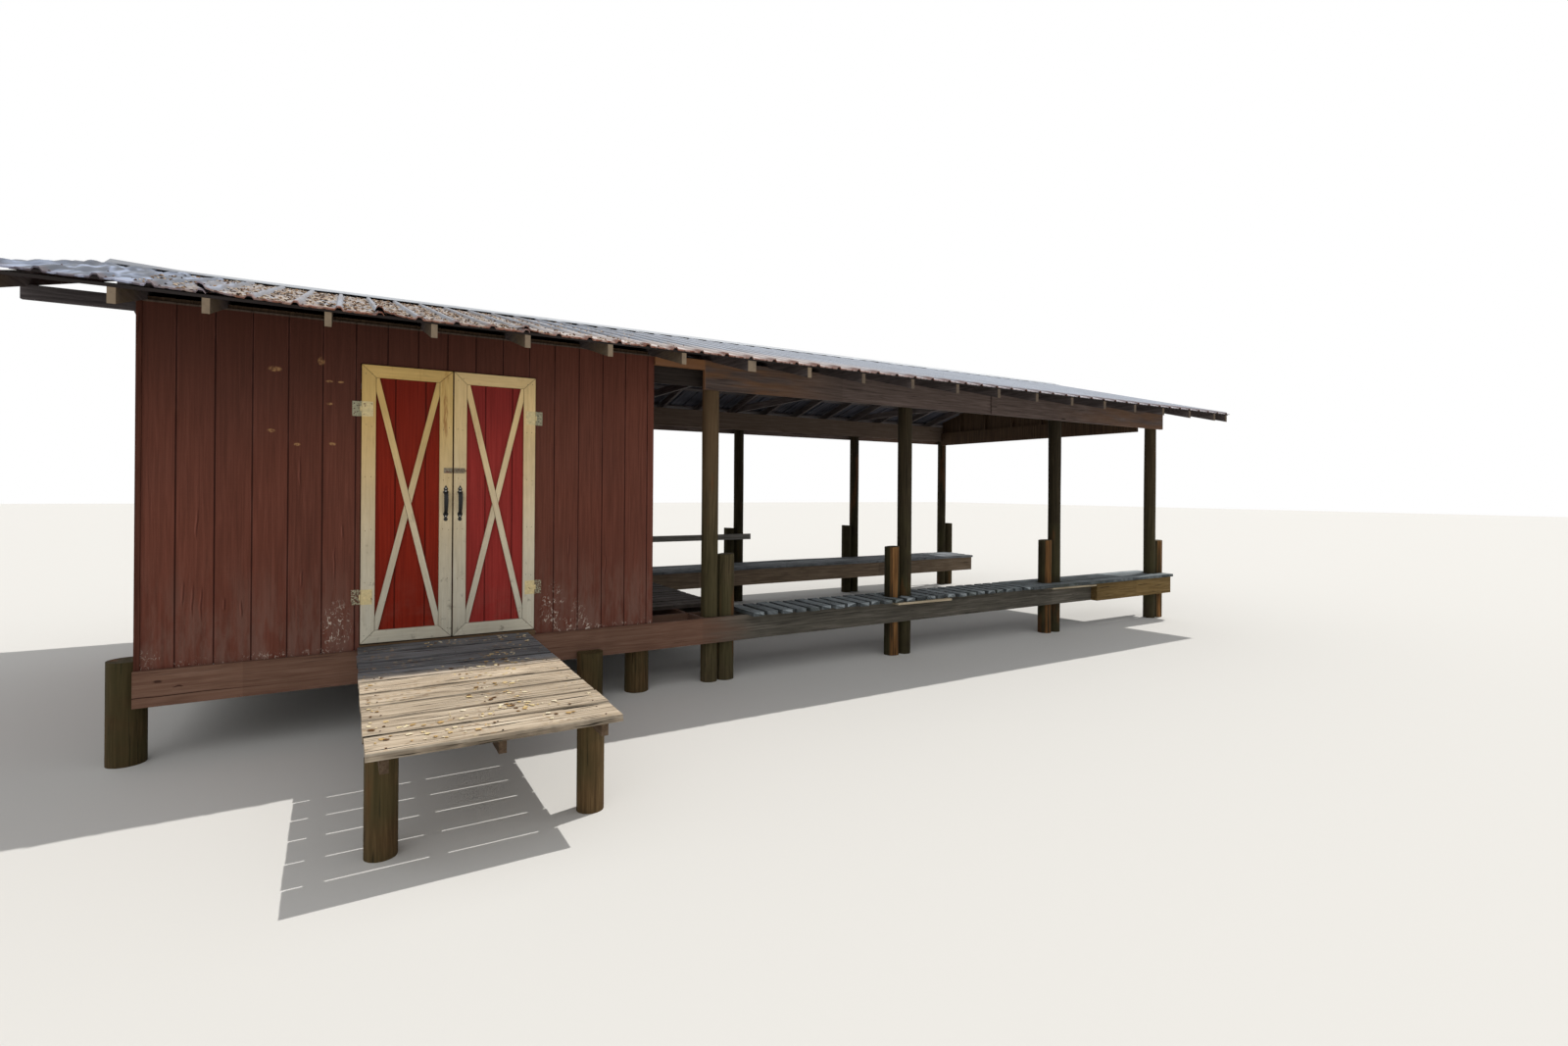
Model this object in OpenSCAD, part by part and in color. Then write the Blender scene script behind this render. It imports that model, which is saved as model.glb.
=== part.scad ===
// Boathouse: a board shed on piles with a pair of braced doors and a ramp, and beside it
// a covered boat slip with round posts, board walks on three sides and one ribbed metal roof.

/* [Roof] */
// Level distance from the ridge to each eave
roof_run = 2990; // [2800:10:3200]
// Pitch of the roof in degrees
roof_pitch = 14.5; // [11:0.5:18]
// Height of the metal's underside at the eaves
eave_h = 2920; // [2860:10:3200]
// How far the roof runs past the shed's left wall
left_rake = 585; // [400:5:800]
// How far the roof runs past the last near post
right_rake = 520; // [400:5:700]
// Thickness of the roofing metal
sheet_t = 1.5; // [1:0.1:3]
// Spacing of the ribs in the metal
rib_pitch = 228.6; // [200:0.1:300]
// Height of a rib
rib_h = 19; // [12:1:30]
// Width of a rib where it meets the pan
rib_foot = 46; // [35:1:60]
// Width of a rib's flat crown
rib_crown = 20; // [12:1:28]
// Width of each wing of the ridge cap
cap_w = 170; // [120:5:250]
// Thickness of the ridge cap
cap_t = 1.5; // [1:0.1:3]
// Length of the ridge cap's loose left end
loose_len = 900; // [600:50:2000]
// How far the tip of that end stands up
loose_up = 45; // [20:5:120]

/* [Roof timber] */
// Thickness of rafters, joists, rims and beams
plank_t = 38; // [35:1:45]
// Depth of a rafter
rafter_d = 89; // [80:1:120]
// Spacing of the rafters
rafter_pitch = 606; // [450:1:700]
// Distance from the shed's left face to the first common rafter
first_rafter = 449; // [300:1:600]
// Width of a roof lath
lath_w = 89; // [60:1:140]
// Thickness of a roof lath
lath_t = 19; // [16:1:25]
// Spacing of the laths down the slope
lath_pitch = 590; // [400:5:700]
// Depth of the ridge board
ridge_d = 140; // [120:1:190]
// How far the rafter tails stop short of the metal's edge
tail_inset = 25; // [10:1:60]
// How far the fly rafters stand inside the ends of the roof
fly_inset = 50; // [30:1:120]
// Depth of the beams on the posts
beam_d = 270; // [220:1:300]
// How far the front beam runs past the first and the last post
beam_past = 120; // [80:5:200]
// Width of the cleat over the front beam's splice
cleat_w = 89; // [60:1:140]
// Depth of the plank between the shed and the first post
bay_plank_d = 89; // [60:1:140]
// Depth of the ties across the slip
tie_d = 89; // [60:1:140]
// Depth of the tie beam under the end gable
end_tie_d = 235; // [140:1:290]
// How far the end gable hangs below the outer beams
gable_drop = 30; // [0:5:80]

/* [Shed] */
// Width of the shed along the ridge
shed_w = 3514; // [3400:1:3700]
// Depth of the shed across the ridge
shed_d = 4430; // [4300:5:4600]
// Height of the floor and the walks above the feet of the piles
floor_h = 650; // [500:5:800]
// Thickness of the floor and walk boards
deck_t = 38; // [30:1:45]
// Thickness of the wall boarding
siding_t = 16; // [12:1:20]
// Spacing of the grooves in the boarding
groove_pitch = 203.2; // [150:0.1:300]
// Width of a groove
groove_w = 10; // [5:0.5:14]
// Depth of a groove
groove_d = 6; // [3:0.5:8]
// Depth of a wall stud
stud_d = 89; // [80:1:140]
// Spacing of the wall studs
stud_pitch = 610; // [400:5:700]
// Depth of the rim boards and the floor joists
rim_d = 235; // [180:1:290]
// Diameter of a shed pile
pile_d = 210; // [180:1:260]
// How far the left piles stand outside the left wall
pile_out = 50; // [20:1:90]
// Distance from the shed's left face to the middle piles
mid_pile_x = 2927; // [2700:5:3100]
// Height of a middle pile's top above the bottom of the rim
mid_pile_up = 60; // [30:5:150]

/* [Doors] */
// Distance from the shed's left face to the doorway
door_from_left = 1249; // [1100:1:1400]
// Width of the doorway
doorway_w = 1241; // [1100:1:1300]
// Height of the doorway above the floor
doorway_h = 2063; // [1950:1:2120]
// Gap between a leaf and the wall
leaf_gap = 5; // [4:0.5:10]
// Gap between the two leaves
seam_gap = 8; // [6:0.5:14]
// Gap under the leaves
foot_gap = 7; // [5:0.5:14]
// Thickness of the boards on the face of a leaf
trim_t = 19; // [15:1:25]
// Width of the frame boards on a leaf
stile_w = 93; // [80:1:110]
// Width of the crossed braces on a leaf
brace_w = 45; // [35:1:60]
// Height of the upper hinges above the floor
upper_hinge_h = 1730; // [1600:5:1850]
// Height of the lower hinges above the floor
lower_hinge_h = 350; // [200:5:450]
// Height of a hinge
hinge_h = 110; // [90:1:140]
// Width of the plate on the wall
wall_leaf_w = 48; // [40:1:70]
// Width of the plate on the door
door_leaf_w = 75; // [50:1:85]
// Thickness of the hinge plates
hinge_t = 2.5; // [2:0.1:3]
// Radius of a hinge knuckle
knuckle_r = 5; // [5:0.1:6]
// Radius of a hinge pin
pin_r = 2.5; // [2:0.1:3]
// Height of the pulls above the floor
pull_h = 1040; // [900:5:1200]
// Distance between the middles of a pull's end plates
grip_len = 169; // [140:1:200]
// How far a pull stands off the door
grip_out = 42; // [35:1:55]
// Width of a pull's grip where it is widest
grip_w = 30; // [16:1:36]
// Thickness of a pull's grip
grip_t = 9; // [7:0.5:12]
// Width of a pull's end plates
plate_w = 42; // [36:1:50]
// Height of the bolt above the floor
bolt_h = 1290; // [1250:5:1400]
// Travel of the bolt
bolt_throw = 45; // [35:1:50]
// Radius of the bolt's rod
rod_r = 4; // [3:0.1:5]

/* [Posts] */
// Diameter of a roof post
post_d = 160; // [140:1:200]
// Diameter of a short pile beside a post
stub_d = 170; // [140:1:200]
// Height of the short piles above the walks
stub_up = 545; // [300:5:700]
// Height of the last near short pile above the walk
last_stub_up = 470; // [300:5:700]
// Distance from the shed to the first posts
bay_1 = 601; // [500:1:750]
// Distance from the first near post to the second
bay_2 = 2410; // [2200:1:2600]
// Distance from the second near post to the third
bay_3 = 2560; // [2300:1:2700]
// Distance from the third near post to the last
bay_4 = 2120; // [1900:1:2400]
// How far the second far post stands beyond the near one
far_shift_2 = 150; // [0:5:200]
// How far the third far post stands short of the near one
far_shift_3 = 50; // [0:5:150]
// How far the last far post stands short of the near one
far_shift_4 = 30; // [0:5:150]
// Clear distance between a post and its short pile
stub_gap = 6; // [2:1:40]

/* [Walks] */
// How far the near walk's boards run out past the shed's front face
walk_out = 170; // [140:5:220]
// Length of the near walk's cross boards
walk_w = 560; // [500:5:700]
// Width of a cross board
cross_w = 140; // [120:1:190]
// Gap between cross boards
cross_gap = 17; // [5:1:25]
// Distance from the shed to the first cross board
first_cross = 951; // [880:1:1050]
// Length of the near walk that has cross boards
cross_run = 3925; // [3600:5:4200]
// How far the near walk runs past the last post
walk_past = 190; // [150:5:300]
// Width of the lengthwise planks
long_w = 180; // [140:1:240]
// Gap between lengthwise planks
long_gap = 10; // [4:1:20]
// Clear distance between the far walk's planks and its short piles
far_plank_gap = 80; // [20:5:150]
// How far the far walk's planks overhang its inner rim
far_over = 40; // [0:5:80]
// Distance from the ridge line to the near end of the head walk's boards
head_walk_in = 1700; // [1500:5:1800]
// Length of the heavy timber at the near walk's end
timber_len = 1700; // [1400:10:2200]
// Width of the heavy timber
timber_w = 90; // [60:1:120]
// Height of the heavy timber
timber_h = 235; // [180:1:260]
// Height of the rail on the far side above the walk
rail_up = 450; // [350:5:500]
// Depth of that rail
rail_d = 89; // [60:1:140]

/* [Ramp] */
// Width of the ramp
ramp_w = 1212; // [1000:1:1240]
// How far the ramp lies to the left of the middle of the doorway
ramp_aside = 40; // [0:5:80]
// Number of boards in the ramp
ramp_boards_n = 9; // [7:1:11]
// Width of a ramp board
ramp_board_w = 254; // [180:1:290]
// Gap between ramp boards
ramp_gap = 10; // [4:1:14]
// Fall of the ramp in degrees
ramp_fall = 0.8; // [0.3:0.1:3]
// Depth of the timbers under the ramp
stringer_d = 89; // [80:1:120]
// How far the ramp's top lies under the floor
ramp_step = 5; // [0:1:10]
// Diameter of the two piles under the ramp's outer end
ramp_pile_d = 150; // [120:5:180]
// Distance from the ramp's outer edge to the middle of those piles
ramp_pile_in = 330; // [200:10:600]

/* [Hidden] */

// Inside the modules x runs from the shed's left face, y from the ridge line, z from the pile feet
seat_gap = 1;
post_gap = 10;
lath_play = 0.05;
cap_play = 0.05;
wall_y = shed_d / 2;
stud_y = wall_y - siding_t;
inner_y = stud_y - stud_d;
deck_under = floor_h - deck_t;
rim_under = deck_under - rim_d;
rim_y = wall_y + plank_t;
beam_in_y = wall_y - post_d - plank_t;

// Slope of the roof
slope_len = roof_run / cos(roof_pitch);
ridge_z = eave_h + roof_run * tan(roof_pitch);
function metal_z(y) = ridge_z - y * tan(roof_pitch);
function rafter_top(y) = metal_z(y) - (lath_t + lath_play) / cos(roof_pitch);
function rafter_under(y) = rafter_top(y) - rafter_d / cos(roof_pitch);
plate_top = rafter_under(inner_y);
plate_under = plate_top - plank_t;
siding_top = rafter_under(wall_y);
ridge_top = rafter_top(plank_t / 2);

// Places along the building
near_x = [
    shed_w + bay_1,
    shed_w + bay_1 + bay_2,
    shed_w + bay_1 + bay_2 + bay_3,
    shed_w + bay_1 + bay_2 + bay_3 + bay_4
];
far_x = [near_x[0], near_x[1] + far_shift_2, near_x[2] - far_shift_3, near_x[3] - far_shift_4];
last_x = near_x[3];
roof_left = -left_rake;
roof_right = last_x + right_rake;
roof_len = roof_right - roof_left;
left_fly_x = roof_left + fly_inset;
right_fly_x = roof_right - fly_inset - plank_t;
common_n = floor((right_fly_x - 2 * plank_t - first_rafter) / rafter_pitch) + 1;
common_x = [for (i = [0:common_n - 1]) first_rafter + i * rafter_pitch];
first_slip_rafter = round((near_x[0] - first_rafter) / rafter_pitch);
beam_end = last_x + beam_past;
walk_end = last_x + walk_past;
post_row = wall_y - post_d / 2;
stub_row = wall_y - stub_d / 2;
stub_step = (post_d + stub_d) / 2 + stub_gap;
// Side of each post on which its short pile stands: 1 is away from the shed
near_side = [1, -1, -1, 1];
far_side = [-1, -1, 1];
// How far from each of the first three posts its tie lies
tie_shift = [bay_2 / 4, 0, 0];
near_stub_x = [for (i = [0:3]) near_x[i] + near_side[i] * stub_step];
far_stub_x = [for (i = [0:2]) far_x[i + 1] + far_side[i] * stub_step];
cross_step = cross_w + cross_gap;
cross_n = floor((cross_run + cross_gap) / cross_step);
cross_x = shed_w + first_cross;
walk_near_y = wall_y + walk_out;
walk_far_y = walk_near_y - walk_w;
// Outer face of the near walk's inner rim, and the place where the shed's rim meets the walk's
inner_rim_y = walk_far_y + 2 * plank_t;
rim_joint_x = near_x[0] - post_d / 2 - plank_t;
long_n = 3;
far_long_n = 4;
far_walk_out = wall_y - max(post_d, stub_d) - far_plank_gap;
far_walk_in = far_walk_out - far_long_n * (long_w + long_gap) + long_gap;
far_rim_y = far_walk_in + far_over;
far_walk_end = far_x[3] - post_d / 2;

// Doorway and leaves
jamb_left = door_from_left;
jamb_right = jamb_left + doorway_w;
seam_x = (jamb_left + jamb_right) / 2;
head_z = floor_h + doorway_h;
leaf_x = jamb_left + leaf_gap;
leaf_end = seam_x - seam_gap / 2;
leaf_w = leaf_end - leaf_x;
leaf_z = floor_h + foot_gap;
leaf_top = head_z - leaf_gap - 1;
leaf_h = leaf_top - leaf_z;
trim_y = wall_y + trim_t;
hinge_z = [floor_h + lower_hinge_h, floor_h + upper_hinge_h];
pin_y = trim_y + knuckle_r;
pin_gap = 0.3;
knuckle_gap = 1;
third = hinge_h / 3;
bolt_z = floor_h + bolt_h;
bolt_plate_t = 2;
guide_w = 12;
guide_h = 20;
guide_out = 17;
rod_gap = 0.4;
keeper_gap = 1;
keeper_w = 60;
knob_r = 3.5;
rod_y = trim_y + bolt_plate_t + guide_out / 2;
guide_free = bolt_throw + 2 * knob_r + 2 * rod_gap;
guide_end = leaf_end - 2;
guide_start = guide_end - guide_free - 2 * guide_w;
keeper_x = seam_x + seam_gap / 2 + 2;

// Ramp
ramp_len = ramp_boards_n * (ramp_board_w + ramp_gap);
ramp_z = floor_h - ramp_step;
ramp_mid = seam_x - ramp_aside;
ramp_x = ramp_mid - ramp_w / 2;
stringer_inset = 70;
stringer_under = deck_t + stringer_d;

// The part's origin is under the middle of its box
front_reach = rim_y + ramp_len * cos(ramp_fall);
rear_reach = roof_run + (rib_h + sheet_t) * sin(roof_pitch);
module placed() {
    translate([-(roof_left + roof_right) / 2, (front_reach - rear_reach) / 2, 0]) children();
}

// Colours
wall_red = [0.33, 0.13, 0.10];
door_red = [0.50, 0.06, 0.06];
cream = [0.80, 0.74, 0.58];
raw_wood = [0.52, 0.38, 0.24];
beam_wood = [0.45, 0.30, 0.18];
post_wood = [0.33, 0.28, 0.20];
grey_wood = [0.45, 0.43, 0.41];
ramp_wood = [0.58, 0.50, 0.44];
zinc = [0.62, 0.64, 0.66];
black_iron = [0.06, 0.06, 0.06];
steel = [0.60, 0.58, 0.54];

// A box given by its low and high corners
module block(low, high) {
    translate(low) cube(high - low);
}

// A box on the front side, given by its distances from the ridge line
module front_block(x0, x1, y_in, y_out, z0, z1) {
    block([x0, -y_out, z0], [x1, -y_in, z1]);
}

module rear_block(x0, x1, y_in, y_out, z0, z1) {
    block([x0, y_in, z0], [x1, y_out, z1]);
}

module rear_side() {
    mirror([0, 1, 0]) children();
}

module right_half() {
    translate([2 * seam_x, 0, 0]) mirror([1, 0, 0]) children();
}

// An outline in y and z drawn out along x
module profile_along_x(x0, x1, outline) {
    translate([x0, 0, 0]) rotate([90, 0, 90]) linear_extrude(height = x1 - x0) polygon(outline);
}

// Walls

// Grooves of a long wall, cut into its outer face at y = -wall_y
module long_wall_grooves(x0, x1, z0, z1) {
    for (x = [groove_pitch:groove_pitch:shed_w - groove_w])
        if (x > x0 + groove_w && x < x1 - groove_w)
            front_block(
                x - groove_w / 2, x + groove_w / 2, wall_y - groove_d, wall_y + seat_gap, z0 - 1, z1 + 1
            );
}

module long_wall_siding(x0, x1, z0, z1) {
    difference() {
        front_block(x0, x1, stud_y, wall_y, z0, z1);
        long_wall_grooves(x0, x1, z0, z1);
    }
}

// Plates and studs of a stretch of long wall
module long_wall_frame(x0, x1) {
    front_block(x0, x1, inner_y, stud_y, floor_h, floor_h + plank_t);
    front_block(x0, x1, inner_y, stud_y, plate_under, plate_top);
    front_block(x0, x0 + plank_t, inner_y, stud_y, floor_h, plate_top);
    front_block(x1 - plank_t, x1, inner_y, stud_y, floor_h, plate_top);
    for (x = [x0 + stud_pitch:stud_pitch:x1 - 2 * plank_t])
        front_block(x - plank_t / 2, x + plank_t / 2, inner_y, stud_y, floor_h, plate_top);
}

module front_wall_left() {
    color(wall_red) placed() union() {
        long_wall_siding(0, jamb_left, deck_under, siding_top);
        long_wall_frame(siding_t, jamb_left);
    }
}

module front_wall_right() {
    color(wall_red) placed() union() {
        long_wall_siding(jamb_right, shed_w, deck_under, siding_top);
        long_wall_frame(jamb_right, shed_w - siding_t);
    }
}

module front_wall_header() {
    header_top = head_z + 140;
    color(wall_red) placed() union() {
        long_wall_siding(jamb_left, jamb_right, head_z, siding_top);
        front_block(jamb_left, jamb_right, inner_y, stud_y, head_z, header_top);
        front_block(jamb_left, jamb_right, inner_y, stud_y, plate_under, plate_top);
        for (i = [1:2])
            front_block(
                jamb_left + i * doorway_w / 3 - plank_t / 2, jamb_left + i * doorway_w / 3 + plank_t / 2,
                inner_y, stud_y, header_top, plate_under
            );
    }
}

module rear_wall() {
    color(wall_red) placed() rear_side() union() {
        long_wall_siding(0, shed_w, deck_under, siding_top);
        long_wall_frame(siding_t, shed_w - siding_t);
    }
}

// A gable wall at the shed's left end: grooved boarding up to the laths, studs up to the rafters
module gable_wall() {
    difference() {
        union() {
            profile_along_x(0, siding_t, [
                [-stud_y, deck_under], [stud_y, deck_under],
                [stud_y, rafter_top(stud_y)], [0, rafter_top(0)], [-stud_y, rafter_top(stud_y)]
            ]);
            block([siding_t, -inner_y, floor_h], [siding_t + stud_d, inner_y, floor_h + plank_t]);
            intersection() {
                for (side = [-1, 1], y = [stud_pitch / 2:stud_pitch:inner_y - plank_t])
                    block([siding_t, side * y - plank_t / 2, floor_h],
                          [siding_t + stud_d, side * y + plank_t / 2, ridge_z]);
                profile_along_x(0, siding_t + stud_d, [
                    [-inner_y, floor_h], [inner_y, floor_h],
                    [inner_y, rafter_under(inner_y)], [0, rafter_under(0)], [-inner_y, rafter_under(inner_y)]
                ]);
            }
        }
        for (side = [-1, 1], y = [groove_pitch / 2:groove_pitch:stud_y - groove_w])
            block([-1, side * y - groove_w / 2, deck_under - 1],
                  [groove_d, side * y + groove_w / 2, ridge_z]);
        block([-1, -plank_t / 2 - seat_gap, ridge_top - ridge_d - seat_gap],
              [siding_t + 1, plank_t / 2 + seat_gap, ridge_z]);
    }
}

module left_wall() {
    color(wall_red) placed() gable_wall();
}

module right_wall() {
    color(wall_red) placed() translate([shed_w, 0, 0]) mirror([1, 0, 0]) gable_wall();
}

// Floor

module floor_boards() {
    color(raw_wood) placed() union() {
        block([siding_t, -stud_y, deck_under], [shed_w - siding_t, stud_y, floor_h]);
        front_block(jamb_left, jamb_right, stud_y, rim_y, deck_under, floor_h);
    }
}

// Joists between the front rim and the rear rim, which is fused to them
module floor_frame() {
    joist_n = ceil((shed_w - plank_t) / stud_pitch);
    joist_step = (shed_w - plank_t) / joist_n;
    color(raw_wood) placed() union() {
        for (i = [0:joist_n])
            block([i * joist_step, -wall_y, rim_under], [i * joist_step + plank_t, wall_y, deck_under]);
        rear_block(0, shed_w, wall_y, rim_y, rim_under, deck_under);
    }
}

module front_rim() {
    color(wall_red) placed() front_block(0, rim_joint_x, wall_y, rim_y, rim_under, deck_under);
}

// Outer piles are notched so that the shed's frame sits in them
module notched_left_pile() {
    difference() {
        translate([-pile_out, -(wall_y - pile_d / 2), 0]) cylinder(h = floor_h + 20, d = pile_d, $fn = 48);
        block([0, -wall_y - 1, rim_under], [pile_d, -wall_y + pile_d + 1, floor_h + 21]);
    }
}

module notched_mid_pile() {
    difference() {
        translate([mid_pile_x, -(rim_y + pile_d / 2 - pile_out), 0])
            cylinder(h = rim_under + mid_pile_up, d = pile_d, $fn = 48);
        front_block(mid_pile_x - pile_d, mid_pile_x + pile_d, wall_y - pile_d, rim_y, rim_under, deck_under);
    }
}

module right_pile() {
    translate([shed_w - pile_d / 2, -(wall_y - pile_d / 2), 0]) cylinder(h = rim_under, d = pile_d, $fn = 48);
}

// The ramp's outer end rests on two piles, each under an outer timber
module ramp_pile(x) {
    difference() {
        translate([x, -(front_reach - ramp_pile_in), 0]) cylinder(h = ramp_z, d = ramp_pile_d, $fn = 48);
        on_ramp() translate([x - ramp_pile_d, -ramp_len, -stringer_under])
            cube([2 * ramp_pile_d, ramp_len, floor_h]);
    }
}

module shed_piles() {
    color(post_wood) placed() {
        for (m = [0, 1])
            mirror([0, m, 0]) {
                notched_left_pile();
                notched_mid_pile();
                right_pile();
            }
        for (side = [-1, 1])
            ramp_pile(ramp_mid + side * (ramp_w / 2 - stringer_inset - plank_t / 2));
    }
}

// Doors: the left leaf's pieces are drawn once and turned over for the right leaf

module leaf_panel() {
    difference() {
        front_block(leaf_x, leaf_end, stud_y, wall_y, leaf_z, leaf_top);
        for (x = [leaf_x + stile_w:groove_pitch:leaf_end - groove_w])
            front_block(x, x + groove_w, wall_y - groove_d, wall_y + 1, leaf_z - 1, leaf_top + 1);
    }
}

// A frame of four boards with two braces crossed inside it
module leaf_trim() {
    in_w = leaf_w - 2 * stile_w;
    in_h = leaf_h - 2 * stile_w;
    brace_len = sqrt(in_w * in_w + in_h * in_h) + brace_w;
    lean = atan(in_w / in_h);
    translate([leaf_x, -wall_y, leaf_z]) rotate([90, 0, 0]) linear_extrude(height = trim_t) union() {
        difference() {
            square([leaf_w, leaf_h]);
            translate([stile_w, stile_w]) square([in_w, in_h]);
        }
        intersection() {
            square([leaf_w, leaf_h]);
            translate([leaf_w / 2, leaf_h / 2]) for (side = [-1, 1])
                rotate(side * lean) square([brace_w, brace_len], center = true);
        }
    }
}

// A flat end plate of a pull, drawn upright with its widest point at the origin
module pull_plate() {
    plate_t = 3;
    rotate([90, 0, 0]) linear_extrude(height = plate_t) scale(plate_w / 2) children();
}

// Upper end plate: a lozenge with a spearhead on it
module spear_plate() {
    side = [[0.38, -0.95], [1, 0], [0.48, 0.52], [0.76, 1.1]];
    pull_plate() polygon(concat(side, [[0, 2.5]], [for (p = reversed(side)) [-p[0], p[1]]]));
}

// Lower end plate: a lozenge that narrows to a round foot
module spade_plate() {
    side = [[0.38, 0.95], [0.93, 0], [0.45, -1.3]];
    pull_plate() union() {
        polygon(concat(side, [for (p = reversed(side)) [-p[0], p[1]]]));
        translate([0, -1.95]) circle(r = 0.68, $fn = 32);
    }
}

// How far along its swell or its bow a grip is, from its top at 0 to its foot at 180 degrees
function grip_swell(a, lean) = sin(180 * pow(a / 180, lean));

// A pull's grip: it bows out from the door and is widest over its middle
module pull_grip() {
    half = grip_len / 2;
    bow_lean = 0.8;
    width_lean = 0.7;
    neck = 0.6;
    function half_width(a) = grip_w / 2 * (neck + (1 - neck) * grip_swell(a, width_lean));
    intersection() {
        translate([-grip_w / 2 - 1, 0, 0]) rotate([90, 0, 90]) linear_extrude(height = grip_w + 2)
            polygon(concat(
                [for (a = [0:10:180]) [-grip_out * grip_swell(a, bow_lean), (half + grip_t / 2) * cos(a)]],
                [for (a = [180:-10:0])
                    [-(grip_out - grip_t) * grip_swell(a, bow_lean), (half - grip_t / 2) * cos(a)]]
            ));
        rotate([90, 0, 0]) linear_extrude(height = grip_out + 1)
            polygon(concat(
                [for (a = [0:15:180]) [half_width(a), (half + grip_t) * cos(a)]],
                [for (a = [180:-15:0]) [-half_width(a), (half + grip_t) * cos(a)]]
            ));
    }
}

module pull() {
    half = grip_len / 2;
    translate([leaf_end - stile_w / 2, -trim_y, floor_h + pull_h]) union() {
        translate([0, 0, half]) spear_plate();
        translate([0, 0, -half]) spade_plate();
        pull_grip();
    }
}

// Plate on the wall, its two outer knuckles and the pin
module wall_hinge_leaf(z) {
    low = z - hinge_h / 2;
    translate([jamb_left, 0, low]) union() {
        front_block(-knuckle_r - wall_leaf_w, -knuckle_r + hinge_t, wall_y, wall_y + hinge_t, 0, hinge_h);
        for (z0 = [0, hinge_h - third + knuckle_gap]) {
            front_block(-knuckle_r, -knuckle_r + hinge_t, wall_y, pin_y, z0, z0 + third - knuckle_gap);
            translate([0, -pin_y, z0]) cylinder(h = third - knuckle_gap, r = knuckle_r, $fn = 32);
        }
        translate([0, -pin_y, 0]) cylinder(h = hinge_h, r = pin_r, $fn = 32);
    }
}

// Plate on the door and its middle knuckle
module door_hinge_leaf(z) {
    low = z - hinge_h / 2;
    translate([jamb_left, 0, low]) difference() {
        union() {
            front_block(leaf_gap, leaf_gap + door_leaf_w, trim_y, trim_y + hinge_t, 0, hinge_h);
            front_block(0, leaf_gap + 1, trim_y, trim_y + hinge_t, third, 2 * third);
            translate([0, -pin_y, third]) cylinder(h = third, r = knuckle_r, $fn = 32);
        }
        translate([0, -pin_y, -1]) cylinder(h = hinge_h + 2, r = pin_r + pin_gap, $fn = 32);
    }
}

module left_door_panel() {
    color(door_red) placed() leaf_panel();
}

module left_door_trim() {
    color(cream) placed() leaf_trim();
}

module left_door_pull() {
    color(black_iron) placed() pull();
}

module left_door_hinges() {
    color(cream) placed() for (z = hinge_z) door_hinge_leaf(z);
}

module right_door_panel() {
    color(door_red) placed() right_half() leaf_panel();
}

module right_door_trim() {
    color(cream) placed() right_half() leaf_trim();
}

module right_door_pull() {
    color(black_iron) placed() right_half() pull();
}

module right_door_hinges() {
    color(cream) placed() right_half() for (z = hinge_z) door_hinge_leaf(z);
}

module wall_hinge_leaves() {
    color(steel) placed() {
        for (z = hinge_z) wall_hinge_leaf(z);
        right_half() for (z = hinge_z) wall_hinge_leaf(z);
    }
}

// The bolt is drawn on the left leaf and turned over: it belongs to the right one
module bolt_plate(x0, x1) {
    front_block(x0, x1, trim_y, trim_y + bolt_plate_t, bolt_z - guide_h, bolt_z + guide_h);
}

module bolt_guide_block(x) {
    front_block(
        x, x + guide_w, trim_y, trim_y + bolt_plate_t + guide_out, bolt_z - guide_h / 2, bolt_z + guide_h / 2
    );
}

// A plate with two guides standing on it, bored for the rod
module bolt_guides() {
    color(steel) placed() right_half() difference() {
        union() {
            bolt_plate(guide_start, guide_end);
            bolt_guide_block(guide_start);
            bolt_guide_block(guide_end - guide_w);
        }
        translate([guide_start - 1, -rod_y, bolt_z]) rotate([0, 90, 0])
            cylinder(h = guide_end - guide_start + 2, r = rod_r + rod_gap, $fn = 32);
    }
}

// A plate with a strap bent square over the rod's way
module bolt_keeper() {
    way = rod_r + keeper_gap;
    color(steel) placed() right_half() difference() {
        union() {
            bolt_plate(keeper_x, keeper_x + keeper_w);
            bolt_guide_block(keeper_x + guide_w / 2);
        }
        front_block(keeper_x - 1, keeper_x + 2 * guide_w,
                    rod_y - way, rod_y + way, bolt_z - way, bolt_z + way);
    }
}

// The rod stands withdrawn, with its knob against the outer guide
module bolt_rod() {
    knob_x = guide_start + guide_w + knob_r + rod_gap;
    color(steel) placed() right_half() union() {
        translate([guide_start - guide_w, -rod_y, bolt_z]) rotate([0, 90, 0])
            cylinder(h = guide_end - 1 - guide_start + guide_w, r = rod_r, $fn = 32);
        translate([knob_x, -rod_y, bolt_z]) rotate([90, 0, 0]) cylinder(h = 24, r = knob_r, $fn = 32);
    }
}

// Posts and short piles

module near_posts() {
    color(post_wood) placed() for (x = near_x)
        translate([x, -post_row, 0]) cylinder(h = rafter_under(rim_y), d = post_d, $fn = 48);
}

module far_posts() {
    color(post_wood) placed() for (x = far_x)
        translate([x, post_row, 0]) cylinder(h = rafter_under(rim_y), d = post_d, $fn = 48);
}

module near_stub_piles() {
    color(post_wood) placed() for (i = [0:3])
        translate([near_stub_x[i], -stub_row, 0])
            cylinder(h = floor_h + (i == 3 ? last_stub_up : stub_up), d = stub_d, $fn = 48);
}

module far_stub_piles() {
    color(post_wood) placed() for (x = far_stub_x)
        translate([x, stub_row, 0]) cylinder(h = floor_h + stub_up, d = stub_d, $fn = 48);
}

// Beams

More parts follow.
